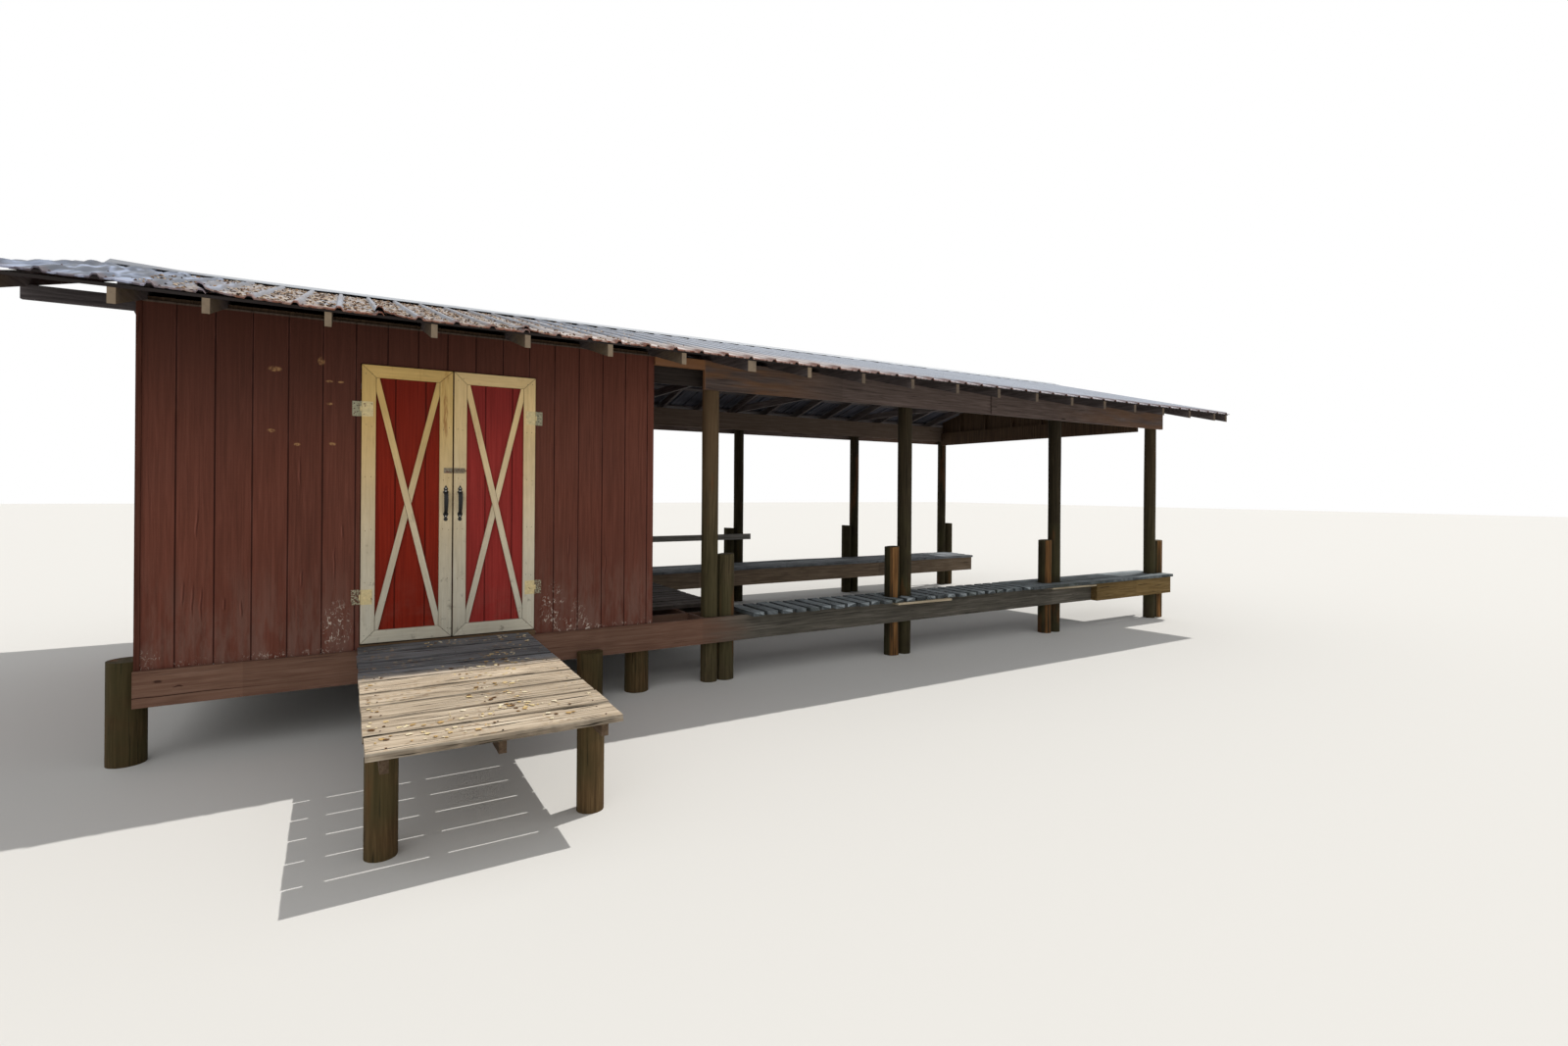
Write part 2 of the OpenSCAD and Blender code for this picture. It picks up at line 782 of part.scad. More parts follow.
// The outer beam lies on the posts' outer faces, in two lengths joined by a cleat
module outer_beam() {
    splice_x = (near_x[1] + near_x[2]) / 2;
    top = rafter_under(wall_y);
    half_gap = 2;
    front_block(near_x[0] - beam_past, splice_x - half_gap, wall_y, rim_y, top - beam_d, top);
    front_block(splice_x + half_gap, beam_end, wall_y, rim_y, top - beam_d, top);
    front_block(shed_w, near_x[0] - beam_past, wall_y, rim_y, top - bay_plank_d, top);
    front_block(
        splice_x - cleat_w / 2, splice_x + cleat_w / 2, rim_y, rim_y + lath_t, top - beam_d, top - lath_t
    );
}

module inner_beam() {
    top = rafter_under(beam_in_y);
    front_block(shed_w, beam_end, beam_in_y, beam_in_y + plank_t, top - beam_d, top);
}

module front_beam() {
    color(beam_wood) placed() union() outer_beam();
}

module rear_beam() {
    color(beam_wood) placed() rear_side() union() outer_beam();
}

module inner_beams() {
    color(beam_wood) placed() {
        inner_beam();
        rear_side() inner_beam();
    }
}

// Ties lie on the inner beams, each against the rafter next to a bay's end
module cross_ties() {
    seat = rafter_under(beam_in_y);
    end_y = beam_in_y + plank_t;
    color(raw_wood) placed() intersection() {
        for (i = [0:2]) {
            near_rafter = common_x[round((near_x[i] + tie_shift[i] - first_rafter) / rafter_pitch)];
            x = near_rafter + plank_t / 2;
            block([x, -end_y, seat], [x + plank_t, end_y, seat + tie_d]);
        }
        profile_along_x(shed_w, beam_end, [
            [-end_y, seat], [end_y, seat],
            [end_y, rafter_top(end_y)], [0, rafter_top(0)], [-end_y, rafter_top(end_y)]
        ]);
    }
}

// Boarding that closes the gable over the slip's open end, with its tie beam between the inner beams
module end_gable() {
    low = rafter_under(wall_y) - beam_d - gable_drop;
    x = far_walk_end - plank_t - siding_t;
    color(wall_red) placed() difference() {
        union() {
            profile_along_x(x + plank_t, x + plank_t + siding_t, [
                [-beam_in_y, low], [beam_in_y, low], [beam_in_y, rafter_top(beam_in_y)],
                [0, rafter_top(0)], [-beam_in_y, rafter_top(beam_in_y)]
            ]);
            block([x, -beam_in_y, low], [x + plank_t, beam_in_y, low + end_tie_d]);
            intersection() {
                for (side = [-1, 1], y = [stud_pitch / 2:stud_pitch:beam_in_y - plank_t])
                    block([x, side * y - plank_t / 2, low], [x + plank_t, side * y + plank_t / 2, ridge_z]);
                profile_along_x(x, x + plank_t, [
                    [-beam_in_y, low], [beam_in_y, low], [beam_in_y, rafter_top(beam_in_y)],
                    [0, rafter_top(0)], [-beam_in_y, rafter_top(beam_in_y)]
                ]);
            }
        }
        for (side = [-1, 1], y = [groove_pitch / 2:groove_pitch:beam_in_y - groove_w])
            block([x + plank_t + siding_t - groove_d, side * y - groove_w / 2, low - 1],
                  [x + plank_t + siding_t + 1, side * y + groove_w / 2, ridge_z]);
        block([x - 1, -plank_t / 2 - seat_gap, ridge_top - ridge_d - seat_gap],
              [x + plank_t + siding_t + 1, plank_t / 2 + seat_gap, ridge_z]);
    }
}

// Roof timber

// A rafter of the front slope, cut at the ridge board and notched over what carries it
module rafter(x, seats) {
    y_in = plank_t / 2;
    y_out = roof_run - tail_inset;
    difference() {
        profile_along_x(x, x + plank_t, [
            [-y_in, rafter_under(y_in)], [-y_in, rafter_top(y_in)],
            [-y_out, rafter_top(y_out)], [-y_out, rafter_under(y_out)]
        ]);
        for (s = seats)
            front_block(x - 1, x + plank_t + 1, s[0], s[1], s[2] - rafter_d, s[2]);
    }
}

module slope_rafters() {
    shed_seats = [[inner_y, stud_y, plate_top]];
    slip_seats = [
        [wall_y, rim_y, rafter_under(wall_y)],
        [beam_in_y, beam_in_y + plank_t, rafter_under(beam_in_y)]
    ];
    lookout_seats = [[stud_y - plank_t, stud_y, rafter_under(stud_y - plank_t)]];
    rafter(left_fly_x, lookout_seats);
    rafter(siding_t, shed_seats);
    for (x = common_x)
        rafter(x - plank_t / 2, x < shed_w ? shed_seats : slip_seats);
    rafter(common_x[first_slip_rafter] + plank_t / 2, slip_seats);
    rafter(right_fly_x, []);
}

module front_rafters() {
    color(raw_wood) placed() slope_rafters();
}

module rear_rafters() {
    color(raw_wood) placed() rear_side() slope_rafters();
}

module ridge_board() {
    color(raw_wood) placed()
        block([left_fly_x, -plank_t / 2, ridge_top - ridge_d],
              [right_fly_x + plank_t, plank_t / 2, ridge_top]);
}

// Children lie on the front slope: y runs down it from the ridge line, z stands off the laths
module on_slope() {
    translate([0, 0, ridge_z]) mirror([0, 1, 0]) rotate([-roof_pitch, 0, 0]) children();
}

module slope_laths() {
    end_inset = 15;
    lath_n = floor((slope_len - lath_w - 2 * tail_inset) / lath_pitch);
    lath_step = (slope_len - lath_w - 2 * tail_inset) / lath_n;
    on_slope() for (i = [0:lath_n])
        translate([roof_left + end_inset, tail_inset + i * lath_step, -lath_t])
            cube([roof_len - 2 * end_inset, lath_w, lath_t]);
}

module front_laths() {
    color(raw_wood) placed() slope_laths();
}

module rear_laths() {
    color(raw_wood) placed() rear_side() slope_laths();
}

// Rakes: short timbers at the wall lines carry the left fly rafters
module rake_lookouts() {
    top = rafter_under(stud_y - plank_t);
    color(raw_wood) placed() for (m = [0, 1])
        mirror([0, m, 0]) front_block(left_fly_x, 0, stud_y - plank_t, stud_y, top - rafter_d, top);
}

// Roofing: a pan with trapezoid ribs, drawn as one bent sheet

rib_n = floor((roof_len - rib_foot) / rib_pitch) + 1;
rib_x0 = (roof_len - (rib_n - 1) * rib_pitch) / 2;
function rib_line(up) = concat(
    [[0, up]],
    [for (i = [0:rib_n - 1], p = [
        [-rib_foot / 2, 0], [-rib_crown / 2, rib_h], [rib_crown / 2, rib_h], [rib_foot / 2, 0]
    ]) [rib_x0 + i * rib_pitch + p[0], p[1] + up]],
    [[roof_len, up]]
);
function reversed(list) = [for (i = [len(list) - 1:-1:0]) list[i]];

module ribbed_sheet() {
    ridge_gap = 12;
    on_slope() translate([roof_left, slope_len, 0]) rotate([90, 0, 0])
        linear_extrude(height = slope_len - ridge_gap)
            polygon(concat(rib_line(0), reversed(rib_line(sheet_t))));
}

module front_roof() {
    color(zinc) placed() ribbed_sheet();
}

module rear_roof() {
    color(zinc) placed() rear_side() ribbed_sheet();
}

// A length of bent cap whose underside fits the ribs' crowns on both slopes when it is at z = 0
module cap_length(x0, x1) {
    over = cap_t / cos(roof_pitch);
    fall = cap_w * tan(roof_pitch);
    profile_along_x(x0, x1, [
        [-cap_w, -fall], [0, 0], [cap_w, -fall], [cap_w, over - fall], [0, over], [-cap_w, over - fall]
    ]);
}

// The cap's left end has come loose and stands up
module ridge_cap() {
    under = (rib_h + sheet_t + cap_play) / cos(roof_pitch);
    loose_x = roof_left + loose_len;
    turn = asin(loose_up / loose_len);
    reach = (loose_len - seat_gap - cap_w * tan(roof_pitch) * sin(turn)) / cos(turn);
    color(zinc) placed() translate([0, 0, ridge_z + under]) union() {
        cap_length(loose_x, roof_right);
        translate([loose_x, 0, 0]) rotate([0, turn, 0]) cap_length(-reach, seat_gap / 2);
    }
}

// Walks round the slip

// Gaps left round the posts and short piles where boards pass them
module post_clearances(xs, y, d) {
    for (x = xs)
        translate([x, y, rim_under]) cylinder(h = rim_d + 2 * deck_t, d = d + 2 * post_gap, $fn = 48);
}

// Two rims with a ledger beside each post
module near_walk_frame() {
    color(grey_wood) placed() union() {
        front_block(rim_joint_x, walk_end, wall_y, rim_y, rim_under, deck_under);
        front_block(shed_w, walk_end, inner_rim_y - plank_t, inner_rim_y, rim_under, deck_under);
        for (i = [0:3]) {
            x = near_x[i] - near_side[i] * (post_d / 2 + plank_t / 2);
            front_block(x - plank_t / 2, x + plank_t / 2, inner_rim_y, wall_y, rim_under, deck_under);
        }
    }
}

module near_walk_boards() {
    color(grey_wood) placed() difference() {
        for (i = [0:cross_n - 1])
            front_block(
                cross_x + i * cross_step, cross_x + i * cross_step + cross_w,
                walk_far_y, walk_near_y, deck_under, floor_h
            );
        post_clearances(near_x, -post_row, post_d);
        post_clearances(near_stub_x, -stub_row, stub_d);
    }
}

module near_walk_planks() {
    plank_x = cross_x + cross_n * cross_step;
    plank_w = (walk_w - (long_n - 1) * long_gap) / long_n;
    color(grey_wood) placed() difference() {
        for (i = [0:long_n - 1]) {
            y = walk_far_y + i * (plank_w + long_gap);
            front_block(plank_x, walk_end, y, y + plank_w, deck_under, floor_h);
        }
        post_clearances(near_x, -post_row, post_d);
        post_clearances(near_stub_x, -stub_row, stub_d);
    }
}

module end_timber() {
    color(beam_wood) placed() front_block(
        walk_end - timber_len, walk_end, rim_y, rim_y + timber_w, deck_under - timber_h, deck_under
    );
}

// Joists along the shed's side, between the near walk's inner rim and the far walk's
module head_walk_frame() {
    joist_x = [shed_w, shed_w + (first_cross - plank_t) / 2, shed_w + first_cross - plank_t];
    color(grey_wood) placed() for (x = joist_x)
        block([x, plank_t - inner_rim_y, rim_under], [x + plank_t, far_rim_y, deck_under]);
}

module head_walk_boards() {
    head_len = head_walk_in + far_walk_in - cross_gap;
    head_n = floor((head_len + cross_gap) / cross_step);
    color(grey_wood) placed() for (i = [0:head_n - 1])
        block([shed_w + cross_gap, far_walk_in - cross_gap - i * cross_step - cross_w, deck_under],
              [shed_w + first_cross, far_walk_in - cross_gap - i * cross_step, floor_h]);
}

// Inner and outer rims with a ledger beside each far post
module far_walk_frame() {
    color(grey_wood) placed() union() {
        rear_block(shed_w, far_walk_end, far_rim_y, far_rim_y + plank_t, rim_under, deck_under);
        rear_block(shed_w, far_walk_end, wall_y, rim_y, rim_under, deck_under);
        for (i = [0:3]) {
            side = i == 0 ? 1 : far_side[i - 1];
            x = far_x[i] - side * (post_d / 2 + plank_t / 2);
            rear_block(x - plank_t / 2, x + plank_t / 2, far_rim_y, wall_y, rim_under, deck_under);
        }
    }
}

module far_walk_boards() {
    color(grey_wood) placed() for (i = [0:far_long_n - 1]) {
        y = far_walk_in + i * (long_w + long_gap);
        rear_block(shed_w + cross_gap, far_walk_end, y, y + long_w, deck_under, floor_h);
    }
}

module far_rail() {
    face = wall_y - max(post_d, stub_d);
    z = floor_h + rail_up;
    color(grey_wood) placed() rear_block(shed_w, far_x[1] + post_d, face - plank_t, face, z - rail_d, z);
}

// Ramp

// Children lie on the ramp: y = 0 is its head, z = 0 its top
module on_ramp() {
    translate([0, -rim_y, ramp_z]) rotate([ramp_fall, 0, 0]) children();
}

module ramp_boards() {
    step = ramp_board_w + ramp_gap;
    color(ramp_wood) placed() on_ramp() for (i = [1:ramp_boards_n])
        translate([ramp_x, -i * step, -deck_t]) cube([ramp_w, ramp_board_w, deck_t]);
}

// Timbers under the boards, cut plumb where they butt on the rim
module ramp_stringers() {
    xs = [ramp_x + stringer_inset, ramp_mid - plank_t / 2, ramp_x + ramp_w - stringer_inset - plank_t];
    color(ramp_wood) placed() difference() {
        on_ramp() for (x = xs)
            translate([x, -ramp_len + stringer_inset, -deck_t - stringer_d])
                cube([plank_t, ramp_len - stringer_inset + plank_t / 2, stringer_d]);
        front_block(ramp_x, ramp_x + ramp_w, wall_y - plank_t, rim_y, rim_under - plank_t, floor_h);
    }
}

front_wall_left();
front_wall_right();
front_wall_header();
left_wall();
right_wall();
rear_wall();
floor_boards();
floor_frame();
front_rim();
shed_piles();
left_door_panel();
left_door_trim();
left_door_pull();
left_door_hinges();
right_door_panel();
right_door_trim();
right_door_pull();
right_door_hinges();
wall_hinge_leaves();
bolt_guides();
bolt_rod();
bolt_keeper();
near_posts();
far_posts();
near_stub_piles();
far_stub_piles();
front_beam();
rear_beam();
inner_beams();
cross_ties();
end_gable();
front_rafters();
rear_rafters();
ridge_board();
front_laths();
rear_laths();
front_roof();
rear_roof();
ridge_cap();
rake_lookouts();
near_walk_frame();
near_walk_boards();
near_walk_planks();
end_timber();
head_walk_frame();
head_walk_boards();
far_walk_frame();
far_walk_boards();
far_rail();
ramp_boards();
ramp_stringers();
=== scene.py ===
"""Looks of the boathouse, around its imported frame. All lengths are in metres."""
import random
from math import copysign, cos, pi, radians, sin, tan

import bpy
import numpy as np
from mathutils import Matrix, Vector
from mathutils import noise as field

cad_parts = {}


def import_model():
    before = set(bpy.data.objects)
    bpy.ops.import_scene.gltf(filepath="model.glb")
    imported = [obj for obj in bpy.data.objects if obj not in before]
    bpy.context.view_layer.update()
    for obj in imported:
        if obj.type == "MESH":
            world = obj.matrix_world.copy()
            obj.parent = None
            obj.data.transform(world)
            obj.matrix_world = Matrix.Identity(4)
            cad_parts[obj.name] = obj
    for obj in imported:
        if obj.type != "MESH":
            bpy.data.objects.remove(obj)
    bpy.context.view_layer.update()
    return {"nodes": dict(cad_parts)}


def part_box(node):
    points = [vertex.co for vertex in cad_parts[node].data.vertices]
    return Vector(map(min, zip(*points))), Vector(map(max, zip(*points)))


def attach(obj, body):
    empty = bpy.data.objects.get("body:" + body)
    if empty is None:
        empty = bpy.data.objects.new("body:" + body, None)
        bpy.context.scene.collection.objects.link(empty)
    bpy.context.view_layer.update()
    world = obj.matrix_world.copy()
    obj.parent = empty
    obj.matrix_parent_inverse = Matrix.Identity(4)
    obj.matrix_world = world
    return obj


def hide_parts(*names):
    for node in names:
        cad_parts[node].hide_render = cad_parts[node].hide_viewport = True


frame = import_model()
nodes = frame["nodes"]
rng = random.Random(7)

# Places taken from the frame: x runs from the shed's left face, y from the ridge line
X0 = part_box("front_wall_left")[0].x
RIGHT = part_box("right_wall")[1].x
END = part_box("end_gable")[1].x
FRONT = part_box("front_wall_left")[0].y
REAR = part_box("rear_wall")[1].y
YR = (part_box("ridge_board")[0].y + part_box("ridge_board")[1].y) / 2
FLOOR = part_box("floor_boards")[1].z
WALL_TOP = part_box("front_wall_left")[1].z
ROOF_LO, ROOF_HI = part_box("front_roof")
DOOR_MID = (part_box("left_door_trim")[1].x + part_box("right_door_trim")[0].x) / 2

# Sizes of the frame's own pieces that its boxes don't give, and what follows from them. SKIN is how deep
# paint goes below a wall's face, LOOSE_CAP how much of the ridge cap stands up, LATH_ENDS what the first and
# the last lath leave to the slope's ends, and FLANK_AT where round a log its split side with painted sunlight
# is
PITCH = radians(14.5)
RISE, RUN = sin(PITCH), cos(PITCH)
RAMP_FALL = radians(0.8)
SHEET_TOP = 0.0205
RIDGE_GAP = 0.012
RIB_PITCH = 0.2286
LOOSE_CAP = 0.9
PLANK = 0.038
GROOVE_PITCH = 0.2032
SKIN = 0.012
EAVE_Y = YR - ROOF_LO.y
RIDGE_Z = ROOF_HI.z + RIDGE_GAP * RISE - SHEET_TOP * RUN
SLOPE_LEN = (RIDGE_Z - ROOF_LO.z) / RISE
LATHS = 5
FIRST_LATH = 0.07
LATH_ENDS = 0.139
LATH_STEP = (SLOPE_LEN - LATH_ENDS) / LATHS
POST_RADIUS, STUB_RADIUS = 0.0815, 0.0865
POST_NOTCH, STUB_NOTCH = 0.092, 0.097
FLANK_AT = radians(-106)

# Ribs of the sheets, and the low ones between them: half width of the foot and of the top, and height
RIB = (0.023, 0.01, 0.019)
LOW_RIB = (0.011, 0.005, 0.003)
ROOF_LEN = ROOF_HI.x - ROOF_LO.x
RIBS = int((ROOF_LEN - 2 * RIB[0]) / RIB_PITCH) + 1
FIRST_RIB = (ROOF_LEN - (RIBS - 1) * RIB_PITCH) / 2

# Heads of nails and screws: radius and height
WALK_NAIL = (0.0045, 0.0022)
RAMP_NAIL = (0.005, 0.002)
TRIM_NAIL = (0.0028, 0.0008)
HINGE_SCREW = (0.0042, 0.0016)
ROOF_WASHER, ROOF_SCREW = (0.0065, 0.003), (0.004, 0.0052)

# Marks on the front wall, as distance from its left end, height over the floor, half width, half height.
# Blisters are all equally wide
SCUFFS = [(0.74, 1.98, 0.046, 0.024), (1.06, 1.92, 0.028, 0.012), (1.13, 1.92, 0.022, 0.011),
          (1.06, 1.76, 0.026, 0.012), (0.72, 1.55, 0.03, 0.015), (0.87, 1.46, 0.024, 0.013),
          (1.08, 1.47, 0.026, 0.015), (1.01, 2.06, 0.028, 0.034)]
BLISTERS = [(0.33, 0.92, 0.13), (0.26, 0.46, 0.11), (0.31, 0.41, 0.14), (0.355, 0.38, 0.15),
            (0.475, 0.37, 0.06), (0.565, 0.33, 0.08), (0.9, 1.27, 0.14), (1.11, 0.62, 0.17),
            (1.157, 0.85, 0.07), (0.91, 0.52, 0.08), (2.78, 0.7, 0.12), (3.1, 0.52, 0.1)]
FLAKES = [(1.13, 0.15, 0.11, 0.24), (1.03, -0.03, 0.24, 0.05), (2.66, 0.1, 0.13, 0.34),
          (2.84, 0.05, 0.12, 0.22), (2.94, -0.01, 0.1, 0.07), (0.08, 0.02, 0.1, 0.1)]

# Colours of the dry litter on the roof and on the ramp
ROOF_SCRAPS = [(0.1, (54, 42, 35)), (0.32, (116, 88, 68)), (0.55, (158, 132, 108)), (0.8, (198, 184, 168))]
RAMP_SCRAPS = [(0.12, (108, 80, 54)), (0.3, (198, 164, 110)), (0.6, (230, 208, 156)),
               (0.9, (242, 231, 204))]


class Shader:
    """A material or a world, the colour that it has so far, and short calls that add nodes to it."""

    def __init__(self, name, store=bpy.data.materials):
        self.owner = store.new(name)
        self.owner.use_nodes = True
        self.tree = self.owner.node_tree
        self.colour = None

    def give(self, node, socket, value):
        """Links a node's socket, or sets it where the value is a plain one."""
        if isinstance(value, bpy.types.NodeSocket):
            self.tree.links.new(value, node.inputs[socket])
        else:
            node.inputs[socket].default_value = value

    def node(self, kind, values=None, **props):
        n = self.tree.nodes.new(kind)
        for key, value in props.items():
            setattr(n, key, value)
        for key, value in (values or {}).items():
            self.give(n, key, value)
        return n

    def place(self):
        return self.node("ShaderNodeTexCoord").outputs["Object"]

    def grain_uv(self):
        return self.node("ShaderNodeUVMap", uv_map="grain").outputs["UV"]

    def value(self, name):
        return self.node("ShaderNodeAttribute", attribute_name=name).outputs["Fac"]

    def axes(self, vec):
        return self.node("ShaderNodeSeparateXYZ", {0: vec}).outputs

    def scaled(self, vec, scale, move=(0, 0, 0)):
        values = {"Vector": vec, "Scale": scale, "Location": move}
        return self.node("ShaderNodeMapping", values).outputs["Vector"]

    def noise(self, vec, scale, detail=4.0, rough=0.55, bend=0.0):
        """Noise of one scale, or of one for each axis."""
        if isinstance(scale, tuple):
            vec, scale = self.scaled(vec, scale), 1.0
        values = {"Vector": vec, "Scale": scale, "Detail": detail, "Roughness": rough, "Distortion": bend}
        return self.node("ShaderNodeTexNoise", values).outputs["Fac"]

    def patches(self, vec, scale, low, high, detail=4.0, rough=0.55, to=(0.0, 1.0)):
        """Noise that fades in between two of its levels."""
        return self.fade(self.noise(vec, scale, detail, rough), low, high, *to)

    def warped(self, vec, scale, amount):
        """Coordinates that wander, so that what is drawn with them isn't straight."""
        values = {"Vector": vec, "Scale": scale, "Detail": 2.0}
        wander = self.node("ShaderNodeTexNoise", values).outputs["Color"]
        values = {0: wander, 1: (amount,) * 3, 2: vec}
        return self.node("ShaderNodeVectorMath", values, operation="MULTIPLY_ADD").outputs[0]

    def cells(self, vec, scale, move=(0, 0, 0)):
        """A random number for each cell."""
        values = {0: self.scaled(vec, scale, move)}
        snapped = self.node("ShaderNodeVectorMath", values, operation="FLOOR").outputs[0]
        return self.node("ShaderNodeTexWhiteNoise", {"Vector": snapped}).outputs["Value"]

    def spots(self, vec, scale, flat=False):
        """Distance to the middle of each of many scattered cells, and a random number for each cell."""
        values = {"Vector": self.scaled(vec, scale), "Scale": 1.0}
        n = self.node("ShaderNodeTexVoronoi", values, voronoi_dimensions="2D" if flat else "3D")
        return n.outputs["Distance"], self.axes(n.outputs["Color"])[0]

    def calc(self, operation, a, b=0.0, c=0.0):
        return self.node("ShaderNodeMath", {0: a, 1: b, 2: c}, operation=operation).outputs[0]

    def times(self, *factors):
        out = factors[0]
        for factor in factors[1:]:
            out = self.calc("MULTIPLY", out, factor)
        return out

    def most(self, values):
        out = values[0]
        for value in values[1:]:
            out = self.calc("MAXIMUM", out, value)
        return out

    def off(self, value, middle):
        return self.calc("ABSOLUTE", self.calc("SUBTRACT", value, middle))

    def fade(self, value, low, high, to_low=0.0, to_high=1.0):
        values = {"Value": value, "From Min": low, "From Max": high, "To Min": to_low, "To Max": to_high}
        return self.node("ShaderNodeMapRange", values, interpolation_type="SMOOTHSTEP").outputs["Result"]

    def near(self, vec, x, z, rx, rz):
        """1 at a spot of the front wall and 0 outside it, from the wall's left end and the floor."""
        at = self.scaled(vec, (1 / rx, 0, 1 / rz), (-(X0 + x) / rx, 0, -(FLOOR + z) / rz))
        reach = self.node("ShaderNodeVectorMath", {0: at}, operation="LENGTH")
        return self.fade(reach.outputs["Value"], 1.0, 0.45)

    def ramp(self, fac, *stops):
        n = self.node("ShaderNodeValToRGB", {"Fac": fac})
        marks = n.color_ramp.elements
        while len(marks) < len(stops):
            marks.new(0.5)
        for mark, (where, colour) in zip(marks, stops):
            mark.position = where
            mark.color = srgb(colour)
        return n.outputs["Color"]

    def mix(self, fac, a, b, blend="MIX"):
        n = self.node("ShaderNodeMix", {0: fac}, data_type="RGBA", blend_type=blend)
        for index, colour in ((6, a), (7, b)):
            self.give(n, index, colour if isinstance(colour, bpy.types.NodeSocket) else srgb(colour))
        return n.outputs[2]

    def between(self, value, low, high):
        """A number that runs from low to high while value runs from 0 to 1."""
        values = {"Value": value, "To Min": low, "To Max": high}
        return self.node("ShaderNodeMapRange", values).outputs["Result"]

    def shaded(self, colour, value, low, high):
        """A colour times such a number."""
        grey = self.between(value, low, high)
        both = self.node("ShaderNodeCombineColor", {0: grey, 1: grey, 2: grey}).outputs["Color"]
        return self.mix(1.0, colour, both, "MULTIPLY")

    def shade(self, value, low, high):
        self.colour = self.shaded(self.colour, value, low, high)

    def tint(self, colour):
        self.colour = self.mix(1.0, self.colour, colour, "MULTIPLY")

    def coat(self, colour, *masks):
        """Covers what is there so far with another colour, where all the masks are."""
        self.colour = self.mix(self.times(*masks), self.colour, colour)

    def done(self, rough, gloss=0.5, height=None, strength=0.0, distance=0.002, metallic=0.0):
        bsdf = self.tree.nodes["Principled BSDF"]
        self.give(bsdf, "Base Color", self.colour)
        self.give(bsdf, "Roughness", rough)
        self.give(bsdf, "Specular IOR Level", gloss)
        self.give(bsdf, "Metallic", metallic)
        if height is not None:
            values = {"Height": height, "Strength": strength, "Distance": distance}
            self.give(bsdf, "Normal", self.node("ShaderNodeBump", values).outputs["Normal"])
        return self.owner


def srgb(colour):
    """Linear colour from values of 0 to 255 as they are seen."""
    out = []
    for c in colour:
        c = c / 255
        out.append(c / 12.92 if c <= 0.04045 else ((c + 0.055) / 1.055) ** 2.4)
    return (*out, 1.0)


def wood(name, dark, mid, light, grain="x", boards=None, contrast=0.3, rough=0.78, knots=0.0, cracks=0.4,
         bump=0.35, tones=(0.78, 1.2), edges=0.0, gloss=0.12, split_at=0.64, extra=None):
    """Weathered wood. grain is the axis it runs along, or uv for meshes that carry their own directions.
    boards are cells of the frame's pieces, each with a tone of its own; meshes of ours carry theirs."""
    s = Shader(name)
    vec = s.grain_uv() if grain == "uv" else s.place()

    def run(a, b):
        """Scales a along the grain and b across it."""
        return {"x": (a, b, b), "y": (b, a, b), "z": (b, b, a), "uv": (a, b, 1)}[grain]

    streaks = s.noise(vec, run(2.2, 55), 6.0, 0.6, 0.6)
    fibres = s.noise(vec, run(9, 260), 2.0)
    s.colour = s.ramp(streaks, (0.5 - contrast, dark), (0.5, mid), (0.5 + contrast, light))
    s.shade(fibres, 0.8, 1.2)
    s.shade(s.cells(vec, boards) if boards else s.value("tone"), *tones)
    s.shade(s.noise(vec, 2.3, 3.0), 0.72, 1.28)
    height = s.calc("ADD", streaks, s.times(fibres, 0.35))
    if cracks:
        rifts = s.noise(vec, run(2.5, 85), 2.0, 0.5, 0.3)
        split = s.times(s.fade(rifts, split_at, split_at + 0.06), cracks)
        s.coat([c * 0.25 for c in dark], split)
        height = s.calc("SUBTRACT", height, s.times(split, 2.0))
    if knots:
        s.coat([c * 0.42 for c in mid], s.fade(s.spots(vec, run(1.6, 7))[0], 0.1, 0.04), knots)
    if edges:
        rim = s.patches(vec, 6.0, 0.3, 0.6, 3.0, to=(0.4, 1.0))
        s.coat([c * 0.4 for c in dark], s.fade(s.value("middle"), 0.16, 0.0), rim, edges)
    if extra:
        extra(s, vec)
    return s.done(s.fade(streaks, 0.2, 0.8, min(1.0, rough + 0.12), rough - 0.08), gloss, height, bump)


def front_marks(s, vec, z, streaks, height):
    """Flaked paint, blisters with painted shade on one side and a painted highlight on the other, and scuffs
    of the front wall. Returns the height with them.
    """
    loose = s.warped(vec, 4.0, 0.03)
    crumbs = s.noise(vec, (38, 38, 26), 5.0, 0.7, 1.2)
    foot = s.fade(z, FLOOR + 0.03, FLOOR - 0.03, 0.0, 0.6)
    patch = s.most([s.near(loose, *spot) for spot in FLAKES] + [foot])
    flaked = s.times(s.fade(crumbs, 0.54, 0.6), patch, s.patches(vec, 9.0, 0.4, 0.52, 3.0))
    s.coat(s.ramp(crumbs, (0.54, (156, 132, 118)), (0.68, (216, 204, 192))), flaked)
    height = s.calc("SUBTRACT", height, s.times(flaked, 0.5))
    # Blisters: painted shade along one side and a painted highlight along the other, over a raised bump
    dark = s.most([s.near(loose, cx + 0.004, cz, 0.006, rz) for cx, cz, rz in BLISTERS])
    pale = s.most([s.near(loose, cx - 0.005, cz, 0.006, rz * 0.8) for cx, cz, rz in BLISTERS])
    s.coat((58, 26, 20), dark, 0.6)
    s.coat((142, 88, 74), pale, 0.4)
    height = s.calc("ADD", height, s.times(s.calc("SUBTRACT", pale, dark), 0.8))
    torn = s.warped(vec, 30.0, 0.012)
    scuff = s.most([s.near(torn, *spot) for spot in SCUFFS])
    s.coat((168, 128, 86), scuff, s.patches(vec, 45.0, 0.36, 0.58, 3.0, to=(0.15, 0.8)))
    # The boarding stops short of the eave and shows the edge of the plate behind it
    plate = s.ramp(streaks, (0.3, (74, 62, 54)), (0.7, (104, 90, 80)))
    s.coat(plate, s.fade(z, WALL_TOP - 0.042, WALL_TOP - 0.038))
    return height


